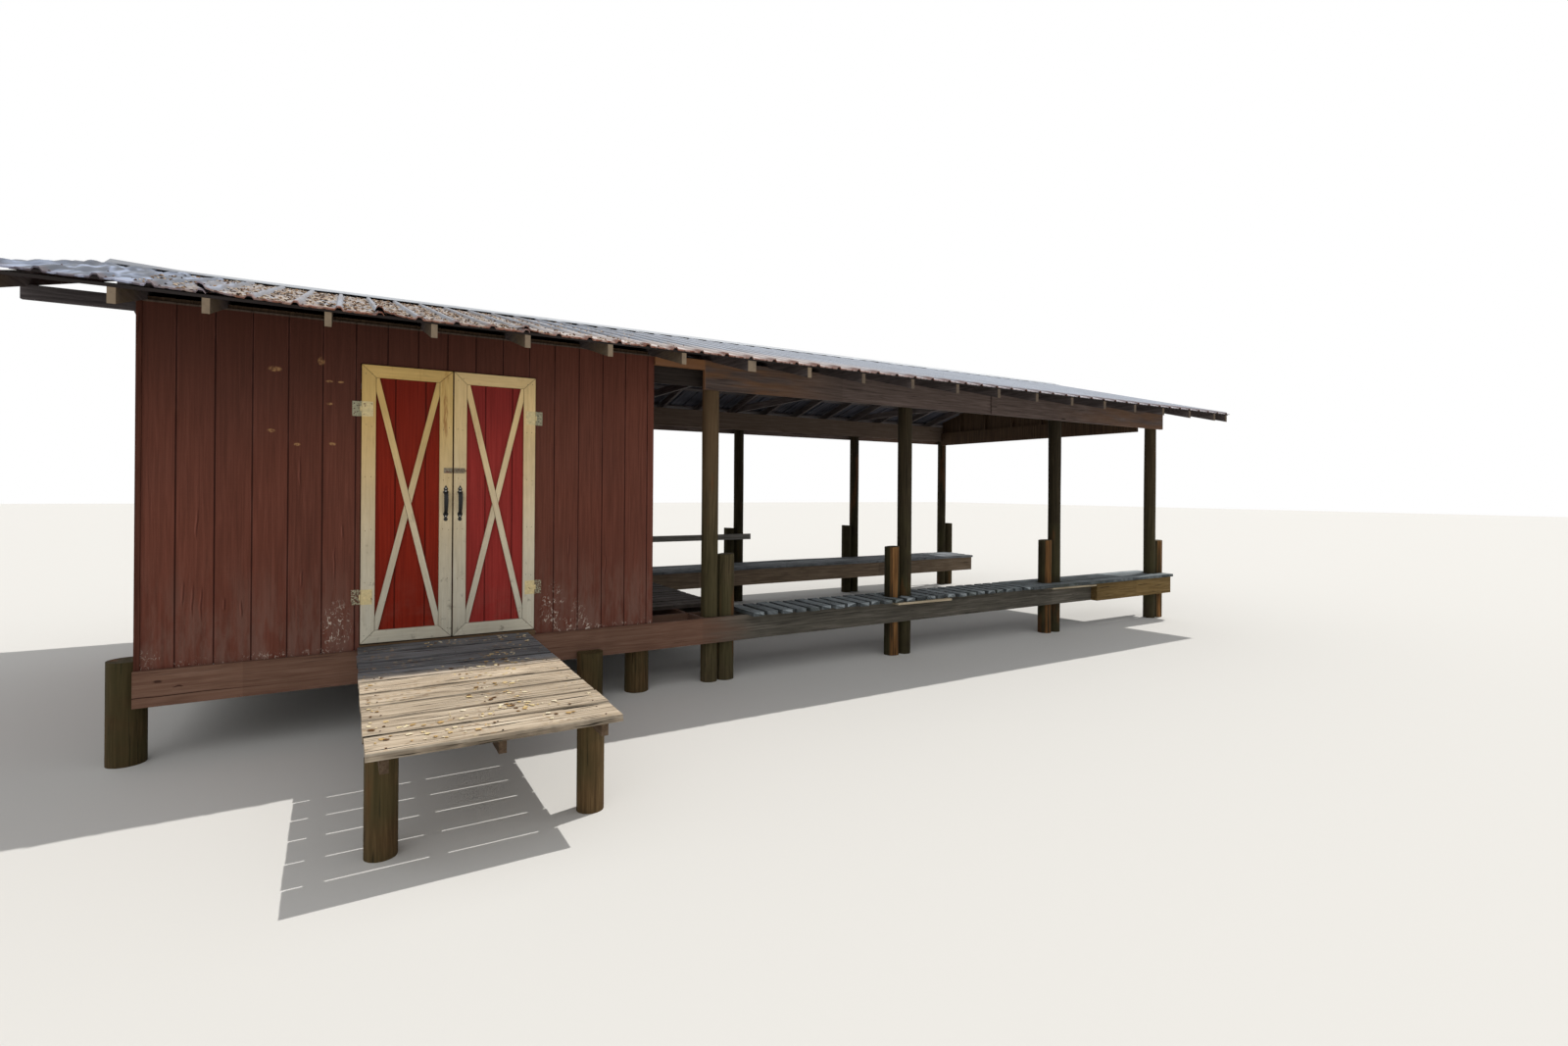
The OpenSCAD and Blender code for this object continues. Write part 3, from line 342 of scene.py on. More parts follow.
def wall_paint(name, axis):
    """Red-brown paint on grooved boarding and bare wood inside, with the front wall's marks on it."""
    s = Shader(name)
    vec = s.place()
    x, y, z = s.axes(vec)
    streaks = s.noise(vec, (60, 60, 2.0), 5.0, 0.6, 0.5)
    fibres = s.noise(vec, (230, 230, 8), 2.0)
    sawn = s.noise(vec, (5, 5, 160), 2.0)
    clouds = s.noise(vec, 1.3)
    # Boards between the grooves: the long walls' start at the left face, the gables' beside the ridge line
    cell = {"x": (1 / GROOVE_PITCH, 0, 0), "y": (0, 1 / GROOVE_PITCH, 0)}[axis]
    start = {"x": (-X0 / GROOVE_PITCH, 0, 0), "y": (0, -YR / GROOVE_PITCH + 0.5, 0)}[axis]
    along = s.axes(s.scaled(vec, cell, start))["xy".index(axis)]
    from_groove = s.calc("PINGPONG", along, 0.5)
    s.colour = s.ramp(streaks, (0.25, (87, 49, 38)), (0.5, (102, 58, 46)), (0.8, (118, 70, 57)))
    s.shade(fibres, 0.92, 1.08)
    s.shade(sawn, 0.94, 1.06)
    s.shade(s.cells(vec, cell, start), 0.9, 1.1)
    s.shade(clouds, 0.78, 1.22)
    # Painted shade: darker towards the eave at the left. Dustier towards the foot
    s.coat((58, 32, 24), s.fade(z, FLOOR + 0.9, FLOOR + 2.3), s.fade(x, X0 + 1.6, X0 + 3.2, 0.62, 0.12))
    dust = s.patches(vec, (14, 14, 3), 0.35, 0.65, 5.0, 0.65)
    s.coat((126, 102, 92), s.fade(z, FLOOR + 0.8, FLOOR, 0.0, 0.44), dust)
    # Painted highlight on the lips beside the grooves, and painted shade in the grooves
    s.coat((132, 84, 72), s.fade(from_groove, 0.045, 0.034), s.patches(vec, (9, 9, 2.5), 0.45, 0.7), 0.5)
    s.coat((48, 22, 17), s.fade(from_groove, 0.026, 0.02, 0.0, 0.75))
    height = s.calc("ADD", s.times(streaks, 0.5), s.times(sawn, 0.12))
    if axis == "x":
        height = front_marks(s, vec, z, streaks, height)
    skins = [s.calc("COMPARE", x, plane, SKIN) for plane in (X0, RIGHT, END)]
    skins += [s.calc("COMPARE", y, plane, SKIN) for plane in (FRONT, REAR)]
    bare = s.ramp(streaks, (0.25, (50, 38, 28)), (0.5, (74, 57, 43)), (0.8, (98, 78, 59)))
    bare = s.shaded(s.shaded(bare, fibres, 0.85, 1.15), clouds, 0.7, 1.3)
    s.colour = s.mix(s.most(skins), bare, s.colour)
    return s.done(s.fade(clouds, 0.3, 0.7, 0.68, 0.84), 0.14, height, 0.45, 0.003)


def rim_look(s, vec):
    """A long split near the lower edge, scars round two knots, and painted shade along the top edge."""
    x, _, z = s.axes(vec)
    line = s.calc("ADD", z, s.times(s.noise(vec, (3, 0, 0), 3.0), 0.02))
    s.coat((36, 20, 16), s.fade(s.off(line, FLOOR - 0.198), 0.004, 0.001), s.fade(x, X0 + 0.9, X0 + 0.3))
    torn = s.warped(vec, 20.0, 0.03)
    scars = [s.near(torn, 0.14, -0.095, 0.03, 0.014), s.near(torn, 0.24, -0.14, 0.035, 0.008)]
    s.coat((44, 24, 19), s.most(scars), 0.8)
    # Painted shade along the top of the rim
    s.coat((66, 38, 30), s.fade(z, FLOOR - 0.09, FLOOR - 0.02, 0.0, 0.25))


def door_paint(name, dark, mid, light):
    """Red paint on a leaf's grooved panel, and bare wood behind it."""
    s = Shader(name)
    vec = s.place()
    y, z = s.axes(vec)[1:]
    streaks = s.noise(vec, (70, 70, 1.8), 5.0, 0.6)
    fibres = s.noise(vec, (240, 240, 7), 2.0)
    clouds = s.noise(vec, 2.2, 3.0)
    s.colour = s.ramp(streaks, (0.25, dark), (0.5, mid), (0.78, light))
    s.shade(fibres, 0.9, 1.1)
    s.shade(clouds, 0.84, 1.16)
    # Darker towards the top: painted shade under the eave
    s.coat([c * 0.72 for c in dark], s.fade(z, FLOOR + 1.2, FLOOR + 2.05, 0.0, 0.4))
    s.coat((134, 84, 74), s.fade(z, FLOOR + 0.6, FLOOR, 0.0, 0.3), s.patches(vec, 9, 0.4, 0.7))
    # Painted shade in the panel's grooves
    s.coat((52, 16, 12), s.fade(y, FRONT + 0.0015, FRONT + 0.005, 0.0, 0.55))
    bare = s.ramp(streaks, (0.25, (70, 50, 34)), (0.5, (92, 68, 48)), (0.8, (114, 90, 66)))
    s.coat(s.shaded(bare, fibres, 0.8, 1.2), s.calc("GREATER_THAN", y, FRONT + SKIN))
    return s.done(s.fade(clouds, 0.3, 0.7, 0.5, 0.66), 0.1, streaks, 0.25)


def trim_look(s, vec):
    """Cream paint, yellowed towards the top, greyed towards the foot and more orange on the left leaf."""
    place = s.place()
    x, _, z = s.axes(place)
    left = s.calc("LESS_THAN", x, DOOR_MID)
    aged = s.mix(left, (234, 208, 158), (222, 190, 124))
    s.tint(s.mix(s.fade(z, FLOOR + 0.1, FLOOR + 2.0), (212, 210, 200), aged))
    stain = s.patches(place, (12, 12, 1.6), 0.57, 0.7, 4.0, 0.6)
    up = s.fade(z, FLOOR + 0.7, FLOOR + 1.8, 0.1, 0.6)
    s.coat((168, 118, 56), stain, up, s.fade(left, 0.0, 1.0, 0.45, 1.0))
    drip = s.near(s.warped(place, 14.0, 0.02), DOOR_MID - X0 - 0.046, 1.72, 0.02, 0.26)
    s.coat((150, 100, 52), drip, s.patches(place, (60, 60, 7), 0.38, 0.58, 4.0, 0.65, (0.1, 0.8)))
    grime = s.patches(place, 16, 0.58, 0.74, 5, 0.7)
    s.coat((98, 88, 74), grime, s.fade(z, FLOOR + 1.3, FLOOR, 0.12, 0.6))
    s.coat((92, 76, 52), s.fade(s.value("middle"), 0.06, 0.0, 0.0, 0.45))


def post_look(s, vec):
    """Green with algae low down, browner at the top, and a split flank with painted sunlight where a log has
    one.
    """
    place = s.place()
    z = s.axes(place)[2]
    s.coat((64, 62, 38), s.fade(z, 2.2, 0.6, 0.0, 0.55), s.patches(place, 3.2, 0.3, 0.65))
    s.coat((104, 82, 60), s.fade(z, 1.3, 2.4), s.fade(s.value("tone"), 0.1, 0.9), 0.6)
    s.coat((112, 66, 34), s.patches(place, (6, 6, 1.1), 0.58, 0.72, 3), 0.4)
    # An orange flank: split wood with painted sunlight on it
    split = s.noise(place, (30, 30, 1.3), 4)
    split_and_sunlit = s.ramp(split, (0.4, (68, 49, 31)), (0.52, (112, 79, 46)), (0.65, (144, 106, 66)))
    s.coat(split_and_sunlit, s.fade(s.value("middle"), 0.4, 0.72), s.fade(split, 0.3, 0.46))


def rafter_look(s, vec):
    """Tails under the eaves: tan sides over the shed, pale sawn ends, painted shade low on the ends over the
    slip.
    """
    x, y, z = s.axes(vec)
    out = s.off(y, YR)
    worn = s.patches(vec, 14, 0.25, 0.6, to=(0.5, 0.95))
    s.coat((112, 98, 78), s.fade(out, 2.3, 2.75), s.fade(x, RIGHT + 0.2, RIGHT - 0.1), worn, 0.8)
    # Painted shade on the lower part of the tails' ends over the slip
    low = s.fade(z, ROOF_LO.z + 0.03, ROOF_LO.z - 0.05)
    low = s.times(s.fade(x, RIGHT + 1.2, RIGHT + 1.8, 0.0, 0.55), low)
    end = s.mix(low, (140, 124, 105), (54, 46, 41))
    s.coat(end, s.fade(out, EAVE_Y - 0.04, EAVE_Y - 0.033), worn)


def lath_look(s, vec):
    """Almost black along the eaves: painted shade under the edge of the sheets."""
    out = s.off(s.axes(vec)[1], YR)
    s.coat((34, 29, 27), s.fade(out, EAVE_Y - 0.16, EAVE_Y - 0.1, 0.0, 0.85))


def beam_look(s, vec):
    """Browner next to the shed and towards the far end, and warmer still by the shed, partly painted warm
    light.
    """
    x = s.axes(vec)[0]
    ends = s.most([s.fade(x, RIGHT + 2.2, RIGHT + 0.6), s.fade(x, END - 2.5, END - 0.5, 0.0, 0.6)])
    s.coat((128, 90, 58), ends, s.patches(vec, (1.2, 5, 9), 0.38, 0.58), 0.7)
    # Painted warm light, over the wood's own brown, on the piece between the shed and the first post
    s.coat((150, 104, 68), s.fade(x, RIGHT + 0.5, RIGHT + 0.47, 0.0, 0.75))


def inner_look(s, vec):
    """Almost black over the near walk, which is painted shade, and browner over the far one."""
    y = s.axes(vec)[1]
    s.coat((30, 25, 22), s.fade(y, YR - 1.0, YR - 1.6, 0.0, 0.6))
    s.coat((112, 90, 70), s.fade(y, YR + 1.0, YR + 1.6, 0.0, 0.35))


def frame_look(s, vec):
    """Red-brown and lighter near the shed, where the paint of the shed's rim runs on: partly paint, partly
    painted light.
    """
    edge = s.calc("ADD", s.axes(vec)[0], s.times(s.noise(vec, (2, 20, 20), 3.0), 0.5))
    s.coat((112, 80, 64), s.fade(edge, RIGHT + 1.35, RIGHT + 0.65, 0.0, 0.75))


def ramp_look(s, vec):
    """Bleached with painted sunlight in the open, greyer with painted shade under the eave, and brown and
    pale litter stains.
    """
    place = s.place()
    y = s.axes(place)[1]
    # Painted shade, bluish, under the eave and painted warm sunlight in the open
    s.tint(s.mix(s.fade(y, YR - 3.36, YR - 3.12), (255, 250, 240), (156, 169, 190)))
    far, kind = s.spots(s.warped(place, 14.0, 0.06), (24, 38, 1), flat=True)
    scraps = s.ramp(kind, (0.6, (112, 84, 58)), (0.8, (176, 142, 98)), (0.95, (206, 188, 156)))
    s.coat(scraps, s.fade(far, 0.4, 0.2), s.patches(place, 3.0, 0.46, 0.58, 3.0),
           s.fade(kind, 0.5, 0.6, 0.0, 0.6), s.fade(s.value("middle"), 0.02, 0.3))


def walk_look(s, vec):
    """Thin green film and dark stains on old boards."""
    place = s.place()
    s.coat((62, 66, 50), s.patches(place, 2.6, 0.5, 0.7), 0.4)
    s.coat((40, 40, 42), s.patches(place, 11, 0.56, 0.72), 0.5)


def metal(name, base, rough, rust, metallic, scale, low_rust=0.0, dark=0.72):
    """Plated or painted metal with specks and rust. low_rust is what the rust gains near the floor."""
    s = Shader(name)
    vec = s.place()
    specks = s.noise(vec, scale, 4.0, 0.6)
    pale = [min(255, c * 1.12) for c in base]
    s.colour = s.ramp(specks, (0.3, [c * dark for c in base]), (0.6, base), (0.8, pale))
    if rust:
        gain = s.fade(s.axes(vec)[2], FLOOR + 0.8, FLOOR + 0.4, 0.0, low_rust * 0.25)
        spread = s.calc("ADD", s.noise(vec, scale * 0.7, 5.0, 0.7), gain)
        spread = s.fade(spread, 0.62 - rust * 0.25, 0.68 - rust * 0.2)
        s.coat((88, 44, 24), spread)
        metallic = s.fade(spread, 0.0, 1.0, metallic, 0.0)
    return s.done(s.fade(specks, 0.3, 0.7, rough, rough + 0.2), 0.5, specks, 0.15, 0.001, metallic)


def roof_top_look():
    """Old zinc-coated sheets: u runs down the slope and v along the eave from the left end."""
    s = Shader("roof_metal")
    uv = s.grain_uv()
    u, v, _ = s.axes(uv)
    pan = s.value("middle")
    clouds = s.noise(uv, 1.2, 5.0, 0.6)
    runs = s.noise(uv, (0.9, 26, 1), 4.0, 0.6)
    s.colour = s.ramp(clouds, (0.3, (140, 148, 162)), (0.55, (162, 170, 184)), (0.8, (182, 189, 202)))
    s.shade(s.value("tone"), 0.86, 1.1)
    s.shade(runs, 0.8, 1.2)
    s.shade(s.noise(uv, 60.0, 2.0), 0.94, 1.06)
    # Brighter over the slip, which is a painted sheen, and blue-grey, dented sheets at the left end
    s.coat((222, 227, 236), s.fade(v, 3.4, 5.0, 0.0, 0.55))
    left = s.fade(v, 1.5, 0.7)
    folds = s.noise(uv, (1.0, 12, 1), 3.0, 0.55, 0.9)
    # Painted glints and painted shade on the dents
    dent_glints_and_shade = s.ramp(folds, (0.4, (32, 39, 54)), (0.5, (66, 78, 101)), (0.59, (152, 166, 194)))
    s.coat(dent_glints_and_shade, left, 0.8)
    # Brown film that gathers in the pans over the shed, and stains that thin out over the slip
    zone = s.times(s.fade(v, 0.7, 1.2), s.fade(v, 3.9, 2.7))
    film = s.patches(uv, (2, 7, 1), 0.36, 0.6, 5.0, 0.7)
    film = s.times(film, zone, s.fade(pan, 0.0, 1.0, 0.4, 0.85))
    s.coat((126, 111, 99), film)
    thin = s.patches(uv, (1.2, 14, 1), 0.5, 0.66, 4.0, 0.7)
    s.coat((118, 98, 84), thin, s.fade(v, 7.0, 3.0, 0.08, 0.5), s.fade(v, 0.6, 1.2))
    far, kind = s.spots(s.warped(uv, 9.0, 0.05), (9, 34, 1), flat=True)
    heap = s.patches(uv, (1.6, 3.5, 1), 0.36, 0.46, 4.0, 0.65)
    litter = s.times(s.fade(far, 0.56, 0.44), heap, zone, s.fade(pan, 0.3, 0.8))
    s.coat(s.ramp(kind, *ROOF_SCRAPS), litter, 0.8)
    # Painted shade on the flanks of the ribs
    s.coat((72, 73, 82), s.fade(pan, 0.12, 0.35), s.fade(pan, 0.88, 0.64), s.fade(v, 1.6, 3.0, 0.25, 0.5))
    # A pale painted highlight above the eave, and rust along the eave and in blooms
    low = s.fade(u, SLOPE_LEN - 1.0, SLOPE_LEN - 0.4)
    s.coat((224, 208, 198), low, s.fade(v, 2.4, 3.4), s.fade(v, 7.5, 5.0), 0.6)
    edge = s.times(s.fade(u, SLOPE_LEN - 0.2, SLOPE_LEN - 0.06), s.fade(runs, 0.3, 0.6, 0.5, 1.0),
                   s.fade(v, 9.0, 4.0, 0.45, 1.0), s.fade(v, 0.6, 1.6, 0.25, 1.0))
    rust = s.most([edge, s.times(s.fade(clouds, 0.64, 0.74), 0.4)])
    s.coat((122, 76, 58), rust)
    # Painted shade under the ridge cap
    s.coat((46, 42, 40), s.fade(u, 0.17, 0.14))
    bare = s.calc("SUBTRACT", 1.0, s.most([rust, film, litter]))
    metallic = s.times(bare, s.fade(left, 0.0, 1.0, 0.3, 0.4))
    rough = s.times(s.fade(clouds, 0.3, 0.7, 0.42, 0.6), s.fade(left, 0.0, 1.0, 1.0, 0.9))
    relief = s.calc("ADD", s.times(litter, 1.6), s.times(folds, left, 2.0))
    return s.done(rough, 0.2, s.calc("ADD", clouds, relief), 0.25, 0.004, metallic)


def crumb_look(name, colours):
    """Dry litter, each crumb in one of the colours given."""
    s = Shader(name)
    s.colour = s.ramp(s.value("tone"), *colours)
    return s.done(0.9, 0.05)


def cap_look(name, dark, light):
    """Ridge cap, brighter than the sheets."""
    s = Shader(name)
    uv = s.grain_uv()
    v = s.axes(uv)[1]
    clouds = s.noise(uv, (6, 1.5, 1), 5.0, 0.6)
    s.colour = s.ramp(clouds, (0.3, dark), (0.7, light))
    s.coat((104, 108, 118), s.fade(v, 1.0, 0.3, 0.0, 0.7))
    s.coat((132, 110, 96), s.patches(uv, 9.0, 0.56, 0.7, 4.0, 0.7), s.fade(v, 4.0, 1.0, 0.1, 0.6))
    return s.done(0.5, 0.35, clouds, 0.2, 0.003, 0.2)


def roof_under_look():
    """Undersides of the sheets: dull, stained, with rust at the laps."""
    s = Shader("roof_metal_under")
    uv = s.grain_uv()
    u, v, _ = s.axes(uv)
    clouds = s.noise(uv, 1.2, 5.0, 0.6)
    s.colour = s.ramp(clouds, (0.3, (50, 50, 58)), (0.6, (68, 69, 79)), (0.8, (90, 91, 102)))
    s.shade(s.value("tone"), 0.8, 1.2)
    s.coat((62, 38, 26), s.patches(uv, (1.0, 9, 1), 0.55, 0.7, 4.0, 0.6), 0.6)
    lip = s.fade(u, SLOPE_LEN - 0.1, SLOPE_LEN - 0.04)
    s.coat((132, 82, 62), lip, s.fade(v, 0.6, 1.6, 0.3, 1.0))
    return s.done(s.fade(clouds, 0.3, 0.7, 0.6, 0.8), 0.15, clouds, 0.2, 0.004, 0.1)


def wobble(*place):
    """Smooth noise round 0."""
    return field.noise(Vector(place))


def level(*place):
    """Smooth noise, mostly between 0 and 1."""
    return wobble(*place) * 0.5 + 0.5


def circle(count):
    """Angles of points that are spread evenly round a circle."""
    return [2 * pi * i / count for i in range(count)]


def left_of(d):
    """A direction turned to the left by a right angle."""
    return Vector((-d.y, d.x))


def corners(x0, y0, x1, y1):
    """A rectangle's corners, counter-clockwise."""
    return [Vector((x0, y0)), Vector((x1, y0)), Vector((x1, y1)), Vector((x0, y1))]


def into_scene(name, data):
    """A new object in the scene."""
    obj = bpy.data.objects.new(name, data)
    bpy.context.scene.collection.objects.link(obj)
    return obj


class Mesh:
    """Gathers solids into one mesh. Each point has a place, its place along the grain, and how far it is
    inside a face: 1 in the middle of a board or pan and 0 at its edges. Each solid has a tone."""

    def __init__(self):
        self.points, self.faces, self.slots = [], [], []

    def add(self, points, faces, tone, slots=None):
        first = len(self.points)
        self.points += [(*p, tone) for p in points]
        self.faces += [tuple(first + i for i in f) for f in faces]
        self.slots += slots or [0] * len(faces)

    def build(self, name, materials, slot, body="root", stands_for=None):
        me = bpy.data.meshes.new(name)
        co, uv, middle, tone = zip(*self.points)
        me.from_pydata([tuple(c) for c in co], [], self.faces)
        index = np.zeros(len(me.loops), np.int32)
        me.loops.foreach_get("vertex_index", index)
        places = np.array(uv, np.float32)[index]
        me.uv_layers.new(name="grain").data.foreach_set("uv", places.ravel())
        for key, values in (("tone", tone), ("middle", middle)):
            attribute = me.attributes.new(key, "FLOAT", "POINT")
            attribute.data.foreach_set("value", np.array(values, np.float32))
        for m in materials:
            me.materials.append(m)
        me.polygons.foreach_set("material_index", np.array(self.slots, np.int32))
        me.polygons.foreach_set("use_smooth", np.ones(len(me.polygons), bool))
        me.update()
        obj = into_scene(name, me)
        me.set_sharp_from_angle(angle=radians(32))
        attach(obj, body)
        if stands_for:
            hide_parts(stands_for)
        return obj


def tube_faces(rings, count):
    """Faces of a closed tube of equal rings, with both its ends."""
    faces = []
    for r in range(rings - 1):
        for i in range(count):
            j = (i + 1) % count
            faces.append((r * count + i, r * count + j, (r + 1) * count + j, (r + 1) * count + i))
    faces.append(tuple(reversed(range(count))))
    faces.append(tuple((rings - 1) * count + i for i in range(count)))
    return faces


def board(mesh, start, end, up, width, thick, tone=None, warp=0.0, step=0.12, edge=0.002, wear=0.0,
          ragged=0.0):
    """A sawn board whose middle runs from start to end. Its upper face can be worn and its ends ragged."""
    start, end, up = Vector(start), Vector(end), Vector(up).normalized()
    along = (end - start).normalized()
    side = along.cross(up).normalized()
    length = (end - start).length
    steps = max(2, int(length / step))
    seed = rng.random() * 100
    tone = rng.random() if tone is None else tone
    w, t = width / 2, thick / 2
    section = [(-w + edge, -t, 0), (w - edge, -t, 0), (w, -t + edge, 0), (w, t - edge, 0), (w - edge, t, 0),
               (w * 0.55, t, 0.45), (0, t, 1), (-w * 0.55, t, 0.45), (-w + edge, t, 0), (-w, t - edge, 0),
               (-w, -t + edge, 0)]
    off = rng.random() * 50
    points = []
    for k in range(steps + 1):
        run = length * k / steps
        bow = wobble(run * 0.8, seed, 0.3) * warp
        sway = wobble(run * 0.8, seed, 9.1) * warp * 0.4
        inward = {0: 1, steps: -1}.get(k, 0) * ragged
        for n, (a, b, m) in enumerate(section):
            if wear and 2 < n < 10:
                worn = wear * level(run * 7, a * 20, seed)
                if n in (3, 9):
                    a -= copysign(worn * 0.7, a)
                b -= worn
            torn = inward * level(a * 25, b * 9, seed + k)
            place = start + along * (run + torn) + side * (a + sway) + up * (b + bow)
            points.append((place, (off + run, off + a + b), m))
    mesh.add(points, tube_faces(steps + 1, len(section)), tone)


def log(mesh, foot, head, radius, seed, tone, top_slope, flank):
    """A round post with uneven sides and long hollows. flank is how much it shows of a split side with
    painted sunlight.
    """
    x, y, low, high = (foot.x + head.x) / 2, (foot.y + head.y) / 2, foot.z, head.z
    count, steps, ease = 32, max(6, int((high - low) / 0.09)), 0.004
    points = []
    for k in range(steps + 3):
        f = min(1.0, k / steps)
        shrink = 0.0 if k <= steps else (ease if k == steps + 1 else radius * 0.45)
        z = low + f * (high - low)
        drop = ease if k == steps else 0.0
        for a in circle(count):
            dx, dy = cos(a), sin(a)
            r = radius - 0.0035 * (wobble(dx * 2.4 + seed, dy * 2.4, z * 0.9) + 0.6)
            r -= 0.004 * max(0.0, wobble(a * 2.6, seed * 3, z * 0.35))
            r -= shrink
            top = top_slope * r * dx if k >= steps else 0.0
            split_and_sunlit = flank * max(0.0, cos(a - FLANK_AT)) ** 3
            place = (x + r * dx, y + r * dy, z + top - drop)
            points.append((place, (seed * 7 + z + shrink, seed + a * radius), split_and_sunlit))
    faces = tube_faces(steps + 3, count)
    # The end's own material is on the last ring of sides and on the top
    slots = [0] * (len(faces) - count - 2) + [1] * count + [0, 1]
    mesh.add(points, faces, tone, slots)


def inset(outline, distance):
    """A convex outline with each edge moved inwards by the same distance."""
    out = []
    for i, b in enumerate(outline):
        a, c = outline[i - 1], outline[(i + 1) % len(outline)]
        n1 = left_of((b - a).normalized())
        bisector = (n1 + left_of((c - b).normalized())).normalized()
        out.append(b + bisector * (distance / max(0.3, bisector.dot(n1))))
    return out


def slab(mesh, outline, low, high, to_world, along, tone):
    """A flat piece with eased edges: a convex outline, counter-clockwise, between two heights."""
    bevel, off = 0.0015, rng.random() * 50
    grain = along.normalized()
    across = left_of(grain)
    rings = [(outline, low, 0.0), (outline, high - bevel, 0.0), (inset(outline, bevel), high, 0.0),
             (inset(outline, bevel + 0.008), high, 1.0)]
    points = []
    for ring, z, m in rings:
        for p in ring:
            points.append((to_world(p.x, p.y, z), (off + p.dot(grain), off + p.dot(across) + z), m))
    mesh.add(points, tube_faces(len(rings), len(outline)), tone)


def clip(poly, point, normal):
    """The part of a convex outline on the side of a line that normal points to."""
    out = []
    for i, a in enumerate(poly):
        b = poly[(i + 1) % len(poly)]
        da, db = (a - point).dot(normal), (b - point).dot(normal)
        if da >= 0:
            out.append(a)
        if da * db < 0:
            out.append(a.lerp(b, da / (da - db)))
    return out


def dome(mesh, centre, normal, radius, height, count=8):
    """A low round head, such as a nail's or a screw's."""
    normal = Vector(normal).normalized()
    side = normal.orthogonal().normalized()
    other = normal.cross(side)
    points = []
    for r, h in ((1.0, -0.3), (1.0, 0.45), (0.6, 1.0)):
        for a in circle(count):
            rim = side * (cos(a) * r * radius) + other * (sin(a) * r * radius)
            c = centre + rim + normal * (h * height)
            points.append((c, (c.x, c.y + c.z), 0.0))
    mesh.add(points, tube_faces(3, count), 0.5)


def solids_of(node):
    """Box of each separate solid of a node, from left to right."""
    me = nodes[node].data
    parent = list(range(len(me.vertices)))

    def root(i):
        while parent[i] != i:
            parent[i] = parent[parent[i]]
            i = parent[i]
        return i

    by_place = {}
    for v in me.vertices:
        key = tuple(round(c, 5) for c in v.co)
        if key in by_place:
            parent[root(v.index)] = root(by_place[key])
        else:
            by_place[key] = v.index
    for p in me.polygons:
        first = root(p.vertices[0])
        for v in p.vertices[1:]:
            parent[root(v)] = first
    groups = {}
    for v in me.vertices:
        groups.setdefault(root(v.index), []).append(v.co)
    boxes = []
    for points in groups.values():
        co = np.array([tuple(p) for p in points])
        boxes.append((Vector(co.min(0)), Vector(co.max(0))))
    return sorted(boxes, key=lambda b: (round(b[0].x, 3), b[0].y))


def dress(names, mat):
    """Puts a material on pieces of the frame."""
    for name in names.split():
        nodes[name].data.materials.clear()
        nodes[name].data.materials.append(mat)


# Looks of the frame's own pieces, and the materials of the meshes that are built further down
dress("front_wall_left front_wall_right front_wall_header rear_wall", wall_paint("wall_paint_long", "x"))
dress("left_wall right_wall end_gable", wall_paint("wall_paint_gable", "y"))
dress("front_rim", wood("rim_red", (96, 68, 56), (116, 87, 72), (132, 103, 88), "x", (0.4, 0, 0), knots=0.7,
                        extra=rim_look))
strip_red = wood("corner_paint", (62, 34, 26), (82, 46, 35), (100, 60, 46), "uv", cracks=0.5)
red_left = door_paint("door_red_left", (110, 25, 12), (130, 34, 17), (144, 44, 26))
red_right = door_paint("door_red_right", (124, 38, 34), (146, 47, 43), (160, 58, 53))
trim_mat = wood("trim_cream", (226, 218, 204), (242, 237, 226), (250, 248, 241), "uv", rough=0.6, knots=0.4,
                cracks=0.12, bump=0.2, tones=(0.88, 1.08), gloss=0.2, extra=trim_look)
post_mat = wood("post_wood", (30, 26, 17), (56, 48, 34), (84, 73, 52), "uv", cracks=0.85, bump=0.6,
                tones=(0.5, 1.9), extra=post_look)
post_end = wood("post_end", (60, 52, 38), (86, 76, 58), (108, 97, 78), "x", (3, 3, 0), cracks=0.8)
dress("shed_piles", wood("pile_wood", (48, 37, 22), (80, 62, 40), (108, 87, 58), "z", (2, 2, 0), cracks=0.8,
                         bump=0.6, extra=post_look))
dress("ridge_board front_laths rear_laths rake_lookouts",
      wood("raw_wood_x", (54, 50, 51), (84, 78, 79), (112, 106, 107), "x", (0, 1.7, 0), knots=0.5,
           extra=lath_look))
dress("inner_beams", wood("inner_beam_wood", (54, 48, 46), (84, 75, 70), (112, 102, 95), "x", (0, 1.7, 0),
                          knots=0.5, extra=inner_look))
dress("front_rafters rear_rafters cross_ties",
      wood("raw_wood_y", (56, 50, 49), (86, 78, 77), (114, 106, 104), "y", (1.65, 0, 0), knots=0.5,
           extra=rafter_look))
dress("floor_boards", wood("raw_wood_floor", (70, 54, 40), (98, 78, 58), (120, 98, 74), "x", (0, 7, 0),
                           knots=0.4))
dress("floor_frame", wood("raw_wood_joists", (52, 42, 32), (84, 68, 52), (112, 94, 74), "y", (1.65, 0, 0),
                          knots=0.5))
dress("front_beam rear_beam", wood("beam_wood", (66, 56, 52), (96, 83, 78), (124, 109, 103), "x", (0.2, 0, 0),
                                   knots=0.9, cracks=0.6, extra=beam_look))
dress("end_timber", wood("end_timber_wood", (74, 58, 34), (110, 89, 54), (140, 118, 78), "x", (0.2, 3, 0),
                         knots=0.8, cracks=0.9, bump=0.5))
dress("near_walk_frame head_walk_frame",
      wood("grey_wood_x", (56, 54, 49), (90, 86, 78), (122, 116, 107), "x", (0.3, 3, 0), cracks=0.6,
           extra=frame_look))
grey_uv = wood("grey_boards", (84, 91, 95), (134, 142, 146), (174, 182, 186), "uv", cracks=0.7, bump=0.5,
               tones=(0.66, 1.3), edges=0.8, extra=walk_look)
brown_uv = wood("head_walk_boards", (54, 48, 44), (86, 77, 71), (116, 106, 98), "uv", cracks=0.7, bump=0.5,
                tones=(0.7, 1.3), edges=0.6, extra=walk_look)
